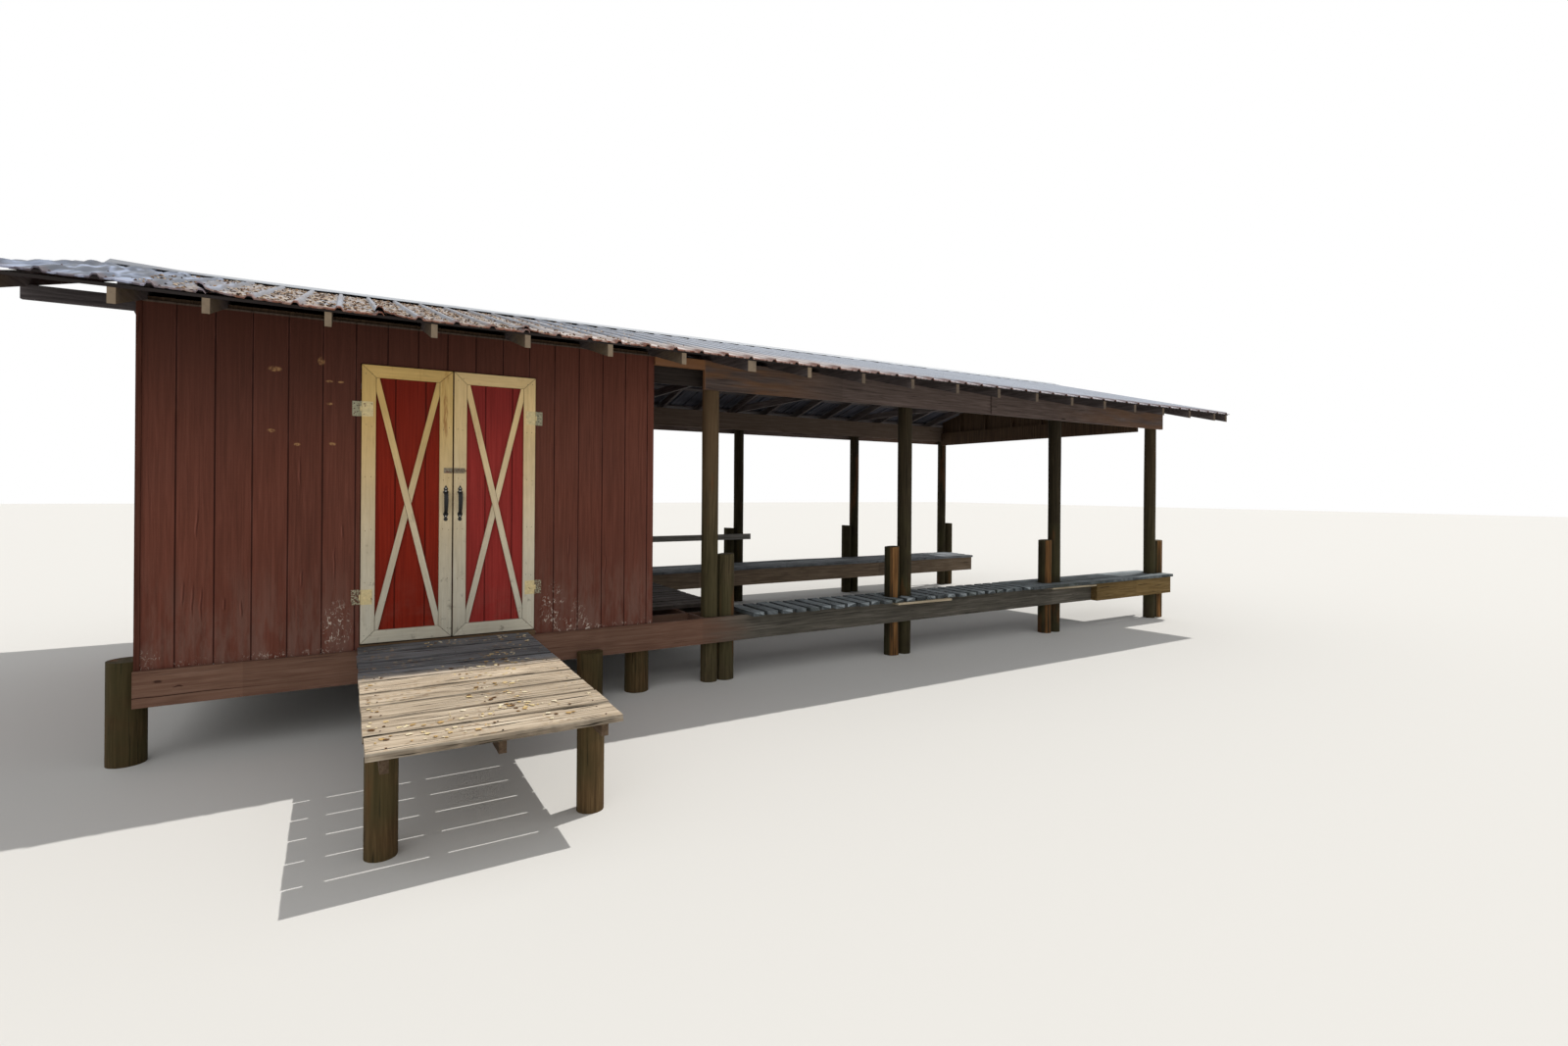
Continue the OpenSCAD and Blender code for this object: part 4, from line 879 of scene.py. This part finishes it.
strip_mat = wood("edge_strips", (128, 116, 96), (170, 156, 132), (200, 188, 164), "uv", cracks=0.5)
far_uv = wood("far_walk_boards", (92, 94, 96), (142, 147, 152), (178, 184, 190), "uv", cracks=0.7, bump=0.5,
              tones=(0.7, 1.3), edges=0.3, extra=walk_look)
dress("far_walk_frame", wood("far_walk_wood", (78, 66, 54), (118, 102, 85), (148, 132, 113), "x", (0.3, 3, 0),
                             cracks=0.6))
dress("far_rail", wood("far_rail_wood", (112, 110, 104), (152, 149, 142), (180, 177, 170), "x", cracks=0.6))
ramp_mat = wood("ramp_wood", (130, 117, 102), (206, 192, 175), (244, 235, 222), "uv", contrast=0.24,
                cracks=1.0, bump=0.6, knots=0.5, tones=(0.76, 1.14), edges=0.6, split_at=0.585,
                extra=ramp_look)
dress("ramp_stringers", wood("ramp_stringer", (60, 48, 37), (90, 74, 59), (112, 95, 78), "y", (2, 0, 0)))
roof_top = roof_top_look()
roof_under = roof_under_look()
cap_top = cap_look("ridge_cap_metal", (146, 151, 158), (192, 197, 204))
cap_under = cap_look("ridge_cap_under", (96, 100, 108), (136, 141, 150))
roof_litter = crumb_look("roof_litter", ROOF_SCRAPS)
ramp_litter = crumb_look("ramp_litter", RAMP_SCRAPS)
dress("left_door_pull right_door_pull", metal("black_iron", (24, 24, 25), 0.4, 0.0, 0.4, 120))
dress("wall_hinge_leaves", metal("hinge_steel", (170, 166, 138), 0.5, 0.25, 0.3, 110, low_rust=0.36))
cream_plate = metal("hinge_painted", (222, 203, 152), 0.5, 0.03, 0.05, 50, dark=0.88)
dress("left_door_hinges right_door_hinges", cream_plate)
dress("bolt_guides bolt_rod bolt_keeper", metal("bolt_steel", (146, 134, 112), 0.5, 0.3, 0.3, 90))
nail_mat = metal("nail_heads", (66, 56, 48), 0.6, 0.6, 0.4, 90)
bright_screw = metal("bright_screws", (206, 204, 198), 0.3, 0.0, 0.6, 90)


def slope_point(side, x, s, n):
    """A point x along the roof, s down the slope from the ridge line and n off the laths."""
    y = s * RUN + n * RISE
    return Vector((x, YR + side * y, RIDGE_Z - s * RISE + n * RUN))


def rib(x, size, foot, top):
    """Places, heights and share of pan across a rib."""
    low, high, tall = size
    return [(x - low, 0.0, foot), (x - high, tall, top), (x + high, tall, top), (x + low, 0.0, foot)]


def sheet_profile(first, last):
    """The same across one sheet, from its first rib to its last one."""
    points = []
    for i in range(first, last + 1):
        x = FIRST_RIB + i * RIB_PITCH
        points += rib(x, RIB, 0.6, 0.0)
        if i < last:
            for m in (1, 2):
                points += rib(x + m * RIB_PITCH / 3, LOW_RIB, 1.0, 0.9)
    return points


def roof_lift(v, s, side):
    """How far the sheets stand off: bent ends at the left, dents along the eave, slack between laths."""
    left = max(0.0, 1.0 - v / 1.8)
    eave = max(0.0, 1.0 - (SLOPE_LEN - s) / 0.3)
    free = min(1.0, max(0.0, (s - 0.16) / 0.4))
    wide = level(v * 1.1, s * 1.3, side * 4.0)
    small = level(v * 4.2, s * 2.6, 7.0 + side)
    sag = 0.5 - 0.5 * cos(2 * pi * (s - FIRST_LATH) / LATH_STEP)
    dents = left * (0.03 * small + 0.01 * wide + 0.016 * sag) + eave * 0.01 * small * (0.4 + left)
    return 0.002 * wide + free * dents


def sheet_faces(count, rows, flip):
    """Faces and material slots of a thin sheet: two layers of rows by count points, and the edge between."""
    size = count * rows
    faces, slots = [], []
    for k in range(rows - 1):
        for i in range(count - 1):
            a, b, c, d = k * count + i, k * count + i + 1, (k + 1) * count + i + 1, (k + 1) * count + i
            if flip:
                faces += [(d, c, b, a), (size + a, size + b, size + c, size + d)]
            else:
                faces += [(a, b, c, d), (size + d, size + c, size + b, size + a)]
            slots += [1, 0]
    rim = list(range(count)) + [k * count + count - 1 for k in range(1, rows)]
    rim += [(rows - 1) * count + i for i in range(count - 2, -1, -1)]
    rim += [k * count for k in range(rows - 2, 0, -1)]
    for a, b in zip(rim, rim[1:] + rim[:1]):
        faces.append((a, b, size + b, size + a) if flip else (b, a, size + a, size + b))
        slots.append(0)
    return faces, slots


def build_roof(side, name, stands_for):
    """Ribbed sheets four ribs wide, each lapped over the one before it, with screws along the laths."""
    mesh, heads = Mesh(), Mesh()
    thin, old_sheets, sheet_ribs = 0.0007, 4, 4
    # Rows of points down the slope, with two close to each other at the bent edge
    rows = [RIDGE_GAP + (SLOPE_LEN - RIDGE_GAP) * f for f in np.linspace(0, 1, 37)]
    rows = rows[:-1] + [SLOPE_LEN - 0.04, SLOPE_LEN]
    for number, start in enumerate(range(0, RIBS - 1, sheet_ribs)):
        last = min(start + sheet_ribs, RIBS - 1)
        profile = sheet_profile(start, last)
        if start == 0:
            profile = [(0.0, 0.0, 1.0)] + profile
        if last == RIBS - 1:
            profile = profile + [(ROOF_LEN, 0.0, 1.0)]
        left_edge = profile[0][0]
        short = 0.004 + 0.018 * rng.random() * (1.6 if number < old_sheets else 0.6)
        tilt = rng.random()
        points = []
        for layer in (0, 1):
            for s in rows:
                s = s - short * max(0.0, (s - SLOPE_LEN + 0.3) / 0.3)
                for v, h, pan in profile:
                    lap = 0.0009 * max(0.0, 1 - (v - left_edge) / 0.06) if start else 0.0
                    n = h + lap + roof_lift(v, s, side) + (thin if layer else 0.0)
                    # A corner of an old sheet stands up where its lap has come loose
                    if number < old_sheets:
                        corner = max(0.0, 1 - (v - left_edge) / 0.26) * max(0.0, 1 - (SLOPE_LEN - s) / 0.5)
                        n += corner * corner * (0.03 + 0.03 * tilt)
                    # The lower edge is bent down a little
                    n -= 0.009 if layer == 0 and s > SLOPE_LEN - short - 1e-6 else 0.0
                    reach = (EAVE_Y - n * RISE) / RUN
                    points.append((slope_point(side, ROOF_LO.x + v, min(s, reach), n), (s, v), pan))
        faces, slots = sheet_faces(len(profile), len(rows), side > 0)
        mesh.add(points, faces, rng.random(), slots)
    mesh.build(name, [roof_top, roof_under], "roof_metal", stands_for=stands_for)
    normal = Vector((0, side * RISE, RUN))
    for i in range(LATHS + 1):
        s = min(FIRST_LATH + i * LATH_STEP, SLOPE_LEN - 0.05)
        for r in range(RIBS):
            v = FIRST_RIB + r * RIB_PITCH + 0.036
            if v < ROOF_LEN - 0.02:
                at_sheet = slope_point(side, ROOF_LO.x + v, s, roof_lift(v, s, side) + 0.0012)
                dome(heads, at_sheet, normal, *ROOF_WASHER)
                dome(heads, at_sheet + normal * 0.001, normal, *ROOF_SCREW, count=6)
    heads.build(name + "_screws", [nail_mat], "roof_metal")


def crumb(mesh, base, down, normal, size, tall):
    """One small irregular flake with its middle raised."""
    turn, co = rng.uniform(0, 2 * pi), []
    for a in circle(5):
        out = size * rng.uniform(0.6, 1.1)
        place = base + Vector((1, 0, 0)) * (out * cos(turn + a)) + down * (out * sin(turn + a))
        co.append(place + normal * (tall * rng.uniform(0, 0.7)))
    co += [base + normal * tall, base + normal * 0.0002]
    faces = [(i, (i + 1) % 5, 5) for i in range(5)] + [((i + 1) % 5, i, 6) for i in range(5)]
    mesh.add([(c, (0, 0), 0.0) for c in co], faces, rng.random())


def litter(side, name):
    """Crumbs of dry litter that have gathered in the pans over the shed."""
    mesh = Mesh()
    down = Vector((0, side * RUN, -RISE))
    normal = Vector((0, side * RISE, RUN))
    tries, starts, ends = 4800, 0.5, 4.6
    for _ in range(tries):
        v, s = rng.uniform(starts, ends), rng.uniform(0.22, SLOPE_LEN - 0.05)
        from_rib = abs((v - FIRST_RIB + RIB_PITCH / 2) % RIB_PITCH - RIB_PITCH / 2)
        drift = level(v * 3.1, s * 1.7, side * 2.0)
        # It thins out towards both ends of that stretch, and lies closer beside the ribs
        here = min(1.0, (v - 0.4) / 0.9) * min(1.0, (ends - v) / 1.9) * (1.3 - 0.6 * from_rib / RIB_PITCH)
        if from_rib < 0.028 or rng.random() > here * (0.15 + 1.0 * drift):
            continue
        base = slope_point(side, ROOF_LO.x + v, s, roof_lift(v, s, side) + 0.001)
        crumb(mesh, base, down, normal, rng.uniform(0.008, 0.019), rng.uniform(0.004, 0.014))
    mesh.build(name, [roof_litter], "roof_metal")


def build_cap():
    """Four lapped lengths of bent ridge cap on the ribs. The one at the left end is loose and stands up."""
    mesh = Mesh()
    low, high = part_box("ridge_cap")
    crown = max(v.co.z for v in nodes["ridge_cap"].data.vertices if v.co.x > high.x - 0.01)
    proud, tip = 0.02, high.z - crown
    wing = (high.y - low.y) / 2
    length, pieces, steps, thin = high.x - low.x, 4, 26, 0.0008
    across = [-1, -0.95, -0.5, -0.06, 0, 0.06, 0.5, 0.95, 1]
    for number in range(pieces):
        x_from = low.x + number * length / pieces - (0.06 if number else 0.0)
        x_to = low.x + (number + 1) * length / pieces
        points = []
        for layer in (0, 1):
            for k in range(steps + 1):
                x = x_from + (x_to - x_from) * k / steps
                loose = max(0.0, 1 - (x - low.x) / LOOSE_CAP)
                crest = crown + max(proud, tip * loose) - 0.0015
                for w in across:
                    wave = wobble(x * 2.6, w * 2.0, 3.0) * 0.004
                    foot = low.z + 0.007 + wave + 0.01 * loose - (0.004 if abs(w) == 1 else 0.0)
                    z = crest + (foot - crest) * abs(w) - 0.0012 * (number % 2)
                    place = (x, YR + w * wing * 0.995, z + (thin if layer else 0.0))
                    points.append((place, (abs(w) * wing, x - low.x), 0.0))
        faces, slots = sheet_faces(len(across), steps + 1, False)
        mesh.add(points, faces, rng.random(), slots)
    mesh.build("ridge_cap_lengths", [cap_top, cap_under], "roof_metal", stands_for="ridge_cap")


build_roof(-1, "roof_sheets_front", "front_roof")
build_roof(1, "roof_sheets_rear", "rear_roof")
build_cap()
litter(-1, "roof_litter_front")
litter(1, "roof_litter_rear")


def leaf_panel(name, body, node, mat, grooves):
    """One sheet of boarding behind a leaf's frame, with upright grooves in its outer face."""
    low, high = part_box(node)
    wide, deep, slant = 0.01, 0.006, 0.0015
    outline = [(low.x, high.y), (low.x, low.y)]
    for middle in grooves:
        a, b = low.x + middle - wide / 2, low.x + middle + wide / 2
        outline += [(a, low.y), (a + slant, low.y + deep), (b - slant, low.y + deep), (b, low.y)]
    outline += [(high.x, low.y), (high.x, high.y)]
    mesh = Mesh()
    points = [((x, y, z), (z, x), 0.0) for z in (low.z, high.z) for x, y in outline]
    mesh.add(points, tube_faces(2, len(outline)), 0.5)
    mesh.build(name, [mat], "door_red", body, node)


def leaf_frame(name, body, node):
    """Mitred frame boards, one brace in one length and the other in two halves that butt on it."""
    low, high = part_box(node)
    x0, x1, z0, z1 = low.x, high.x, low.z, high.z
    face, thick = high.y, high.y - low.y
    w, brace, gap = 0.093, 0.045, 0.0006

    def out(x, z, depth):
        return Vector((x, face - depth, z))

    mesh, heads = Mesh(), Mesh()
    inner = corners(x0 + w, z0 + w, x1 - w, z1 - w)
    outer = corners(x0, z0, x1, z1)
    for i in range(4):
        j = (i + 1) % 4
        piece = [outer[i], outer[j], inner[j], inner[i]]
        slab(mesh, inset(piece, gap), 0.0, thick, out, outer[j] - outer[i], 0.3 + 0.5 * rng.random())
    centre = (inner[0] + inner[2]) / 2
    for number, (a, b) in enumerate(((inner[3], inner[1]), (inner[0], inner[2]))):
        d = (b - a).normalized()
        n = left_of(d) * brace / 2
        poly = [a - d * 0.1 - n, b + d * 0.1 - n, b + d * 0.1 + n, a - d * 0.1 + n]
        for p, q in zip(inner, inner[1:] + inner[:1]):
            poly = clip(poly, p, left_of((q - p).normalized()))
        halves = [poly]
        if number == 1:
            n1 = left_of((inner[1] - inner[3]).normalized())
            halves = [clip(poly, centre + n1 * (brace / 2), n1), clip(poly, centre - n1 * (brace / 2), -n1)]
        for half in halves:
            top = thick - 0.0006 * (1 + number)
            slab(mesh, inset(half, gap), 0.0, top, out, d, 0.3 + 0.5 * rng.random())
    mesh.build(name, [trim_mat], "door_trim", body, node)
    for x in (x0 + w * 0.3, x0 + w * 0.7, x1 - w * 0.7, x1 - w * 0.3):
        for k in range(6):
            z = z0 + 0.06 + k * (z1 - z0 - 0.12) / 5
            spot = Vector((x + rng.uniform(-0.004, 0.004), low.y - 0.0002, z + rng.uniform(-0.01, 0.01)))
            dome(heads, spot, (0, -1, 0), *TRIM_NAIL)
    heads.build(name + "_nails", [nail_mat], "hinge_steel", body)


for side, red, grooves in (("left", red_left, (0.221, 0.424)), ("right", red_right, (0.232, 0.434))):
    leaf_panel(side + "_leaf_boarding", side + "_door", side + "_door_panel", red, grooves)
for side in ("left", "right"):
    leaf_frame(side + "_leaf_frame", side + "_door", side + "_door_trim")


def logs_like(name, node, radius, slope, tones, flanks=()):
    """Logs at the places of a node's own solids. flanks say how much each shows of a split side with painted
    sunlight.
    """
    mesh = Mesh()
    for number, (low, high) in enumerate(solids_of(node)):
        seed = number * 3.7 + len(name)
        log(mesh, low, high, radius, seed, tones[number], slope, flanks[number] if flanks else 0.0)
    mesh.build(name, [post_mat, post_end], "post_wood", stands_for=node)


# The near posts' tones are partly their own and partly painted shade: the second and third are made darker
logs_like("near_post_logs", "near_posts", POST_RADIUS, 0.0, [0.93, 0.17, 0.07, 0.34])
logs_like("far_post_logs", "far_posts", POST_RADIUS, 0.0, [0.1, 0.16, 0.1, 0.16])
logs_like("near_stub_logs", "near_stub_piles", STUB_RADIUS, 0.06, [0.9, 0.1, 0.16, 0.4],
          [0.0, 1.0, 0.95, 0.8])
logs_like("far_stub_logs", "far_stub_piles", STUB_RADIUS, -0.05, [0.1, 0.16, 0.4], [0.0, 0.0, 0.4])


def cut_round(obj, node, radius):
    """Notches in a walk's boards round the posts or short piles of a node."""
    co, faces = [], []
    for low, high in solids_of(node):
        x, y = (low.x + high.x) / 2, (low.y + high.y) / 2
        faces += [tuple(len(co) + i for i in f) for f in tube_faces(2, 32)]
        for z in (FLOOR - 0.1, FLOOR + 0.05):
            co += [(x + radius * cos(a), y + radius * sin(a), z) for a in circle(32)]
    me = bpy.data.meshes.new("cutter")
    me.from_pydata(co, [], faces)
    tool = into_scene("cutter", me)
    mod = obj.modifiers.new("notch", "BOOLEAN")
    mod.operation = "DIFFERENCE"
    mod.solver = "EXACT"
    mod.object = tool
    bpy.context.view_layer.update()
    done = bpy.data.meshes.new_from_object(obj.evaluated_get(bpy.context.evaluated_depsgraph_get()))
    obj.modifiers.clear()
    obj.data = done
    bpy.data.objects.remove(tool)


def boards_like(name, node, grain, lines=(), warp=0.004, jag=0.018, thinner=0.0, mat=grey_uv):
    """Weathered boards in place of a node's plain ones, with nails along lines across them."""
    mesh, heads = Mesh(), Mesh()
    for low, high in solids_of(node):
        size, mid = high - low, (low + high) / 2
        width = size.x if grain == "y" else size.y
        if width < 0.03:
            continue
        near_end, far_end = rng.uniform(0.0, jag), rng.uniform(0.0, jag * 0.6)
        z = mid.z - 0.002
        if grain == "y":
            start, end = (mid.x, low.y + near_end, z), (mid.x, high.y - far_end, z)
        else:
            start, end = (low.x, mid.y, z), (high.x - far_end * 0.5, mid.y, z)
        width -= rng.uniform(thinner * 0.55, thinner)
        board(mesh, start, end, (0, 0, 1), width, size.z, warp=warp, wear=0.004, ragged=0.006)
        for line in lines:
            for f in (-0.27, 0.27):
                across = f * width + rng.uniform(-0.006, 0.006)
                spot = (mid.x + across, line) if grain == "y" else (line, mid.y + across)
                dome(heads, Vector((*spot, high.z - 0.0035)), (0, 0, 1), *WALK_NAIL)
    obj = mesh.build(name, [mat], "grey_wood", stands_for=node)
    if heads.points:
        heads.build(name + "_nails", [nail_mat], "hinge_steel")
    return obj


rim_out = FRONT - PLANK / 2
rim_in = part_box("near_walk_frame")[1].y - PLANK / 2
cross_boards = boards_like("near_walk_cross_boards", "near_walk_boards", "y", (rim_out, rim_in), jag=0.035,
                           thinner=0.03)
long_planks = boards_like("near_walk_long_planks", "near_walk_planks", "x")
for walk in (cross_boards, long_planks):
    cut_round(walk, "near_posts", POST_NOTCH)
    cut_round(walk, "near_stub_piles", STUB_NOTCH)
boards_like("head_walk_planks", "head_walk_boards", "x", [RIGHT + d for d in (0.03, 0.475, 0.92)],
            thinner=0.008, mat=brown_uv)
boards_like("far_walk_planks", "far_walk_boards", "x", warp=0.008, thinner=0.008, mat=far_uv)


def edge_strips():
    """Two narrow ledges along the near walk's outer side, just under its boards."""
    mesh = Mesh()
    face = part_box("near_walk_frame")[0].y
    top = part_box("near_walk_boards")[0].z
    for x_from, x_to, width, drop in ((6.22, 7.01, 0.145, 0.004), (8.77, 9.66, 0.115, 0.01)):
        start = (X0 + x_from, face - width / 2, top - 0.0125)
        end = (X0 + x_to, face - width / 2, top - 0.0125 - drop)
        board(mesh, start, end, (0, 0, 1), width, 0.024, tone=0.7, warp=0.001, wear=0.003, ragged=0.01)
    mesh.build("near_walk_edge_strips", [strip_mat], "grey_wood")


def ramp():
    """Bleached boards of the ramp, worn between their nails, with dry litter on them."""
    mesh, heads, scraps = Mesh(), Mesh(), Mesh()
    up = Vector((0, -sin(RAMP_FALL), cos(RAMP_FALL)))
    lanes = [(a.x + b.x) / 2 for a, b in solids_of("ramp_stringers")]
    for low, high in sorted(solids_of("ramp_boards"), key=lambda b: -b[0].y):
        mid = (low + high) / 2
        width = (high.y - low.y - PLANK * sin(RAMP_FALL)) / cos(RAMP_FALL) - rng.uniform(0.0, 0.004)
        left, right = low.x + rng.uniform(0, 0.012), high.x - rng.uniform(0, 0.012)
        board(mesh, (left, mid.y, mid.z - 0.002), (right, mid.y, mid.z - 0.002), up, width, PLANK, warp=0.004,
              step=0.085, wear=0.004, edge=0.003, ragged=0.006)
        for lane in lanes:
            for f in (-0.3, 0.3):
                spot = Vector((lane + rng.uniform(-0.008, 0.008), mid.y + f * width, mid.z + 0.0155))
                dome(heads, spot, up, *RAMP_NAIL)
        # Most of the litter lies where the drip of the eave ends
        bare = 0.25 if mid.y > YR - 3.15 else (-0.12 if mid.y > YR - 3.7 else 0.05)
        for _ in range(64):
            x, y = rng.uniform(left + 0.03, right - 0.03), mid.y + rng.uniform(-0.34, 0.34) * width
            if wobble(x * 2.6, y * 1.6, 5.0) > bare:
                spot = Vector((x, y, mid.z + 0.0175 + (mid.y - y) * tan(-RAMP_FALL)))
                crumb(scraps, spot, Vector((0, 1, 0)), up, rng.uniform(0.005, 0.021), 0.005)
    scraps.build("ramp_litter", [ramp_litter], "ramp_wood")
    mesh.build("ramp_planks", [ramp_mat], "ramp_wood", stands_for="ramp_boards")
    heads.build("ramp_nails", [nail_mat], "hinge_steel")


def corner_strip():
    """A painted strip that covers the boarding's edge at the shed's front left corner."""
    mesh = Mesh()
    low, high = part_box("front_wall_left")
    foot = (low.x + 0.016, low.y - 0.005, low.z)
    head = (low.x + 0.016, low.y - 0.005, high.z - 0.012)
    board(mesh, foot, head, (0, -1, 0), 0.03, 0.01, edge=0.0015)
    mesh.build("corner_strip", [strip_red], "wall_paint")


def hinge_screws():
    """Screws of the plates on the wall and on both leaves."""
    rows = (("wall_hinge_leaves", "root", FRONT, nail_mat),
            ("left_door_hinges", "left_door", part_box("left_door_trim")[0].y, cream_plate),
            ("right_door_hinges", "right_door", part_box("right_door_trim")[0].y, cream_plate))
    for node, body, carrier, mat in rows:
        mesh = Mesh()
        for low, high in solids_of(node):
            right_side = (low.x + high.x) / 2 > DOOR_MID
            outwards = right_side == (node == "wall_hinge_leaves")
            pin, tip = (low.x, high.x) if outwards else (high.x, low.x)
            for across, heights in ((0.45, (0.3, 0.7)), (0.8, (0.16, 0.5, 0.84))):
                for f in heights:
                    x, z = pin + (tip - pin) * across, low.z + (high.z - low.z) * f
                    dome(mesh, Vector((x, carrier - 0.0025, z)), (0, -1, 0), *HINGE_SCREW, count=10)
        mesh.build(node + "_screws", [mat], "hinge_steel", body)


def pull_screws():
    """Bright screws in the end plates of both pulls: two in the upper plate and two in the lower one."""
    for side in ("left", "right"):
        node = side + "_door_pull"
        low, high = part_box(node)
        face = min(v.co.y for v in nodes[node].data.vertices if v.co.z > high.z - 0.02)
        mesh = Mesh()
        for drop, radius in ((0.05, 0.0075), (0.024, 0.0042), (0.212, 0.0048), (0.24, 0.0042)):
            spot = Vector(((low.x + high.x) / 2, face - 0.0004, high.z - drop))
            dome(mesh, spot, (0, -1, 0), radius, 0.0016, count=12)
        mesh.build(node + "_screws", [bright_screw], "black_iron", side + "_door")


edge_strips()
ramp()
corner_strip()
hinge_screws()
pull_screws()


def stage(half):
    """A pale floor that keeps the shadow."""
    me = bpy.data.meshes.new("floor")
    me.from_pydata([(p.x, p.y, 0) for p in corners(-half, -half, half, half)], [], [(0, 1, 2, 3)])
    s = Shader("floor_pale")
    s.colour = srgb((222, 221, 218))
    me.materials.append(s.done(0.95))
    into_scene("floor", me)


def sun(name, towards, strength, angle, colour=(1, 1, 1)):
    data = bpy.data.lights.new(name, "SUN")
    data.energy = strength
    data.angle = radians(angle)
    data.color = colour
    into_scene(name, data).rotation_euler = (-Vector(towards)).to_track_quat("-Z", "Y").to_euler()


def world(light):
    """White for the camera and for reflections, and an even light for the rest."""
    s = Shader("studio", bpy.data.worlds)
    bpy.context.scene.world = s.owner
    path = s.node("ShaderNodeLightPath").outputs
    seen = s.calc("MAXIMUM", path["Is Camera Ray"], path["Is Glossy Ray"])
    back = s.tree.nodes["Background"]
    s.give(back, "Color", (1, 1, 1, 1))
    s.give(back, "Strength", s.between(seen, light, 1.0))


def camera(lens, shift, place, roll, turn):
    """A level camera: lens in mm, shift as a share of the width, roll and turn in degrees."""
    data = bpy.data.cameras.new("camera")
    data.lens = lens
    data.sensor_width = 36
    data.shift_y = shift
    data.clip_end = 300
    cam = into_scene("camera", data)
    cam.location = place
    cam.rotation_euler = (pi / 2, -radians(roll), -radians(turn))
    bpy.context.scene.camera = cam


stage(90)
sun("sun", (0.45, 0.1, 0.88), 2.3, 0.6, (1.0, 0.97, 0.92))
sun("fill", (-0.5, -0.75, 0.45), 0.4, 60)
world(0.5)
camera(16.555, -0.0204, (-4.426, -7.525, 1.802), 0.446, 31.433)
bpy.context.scene.view_settings.view_transform = "Standard"
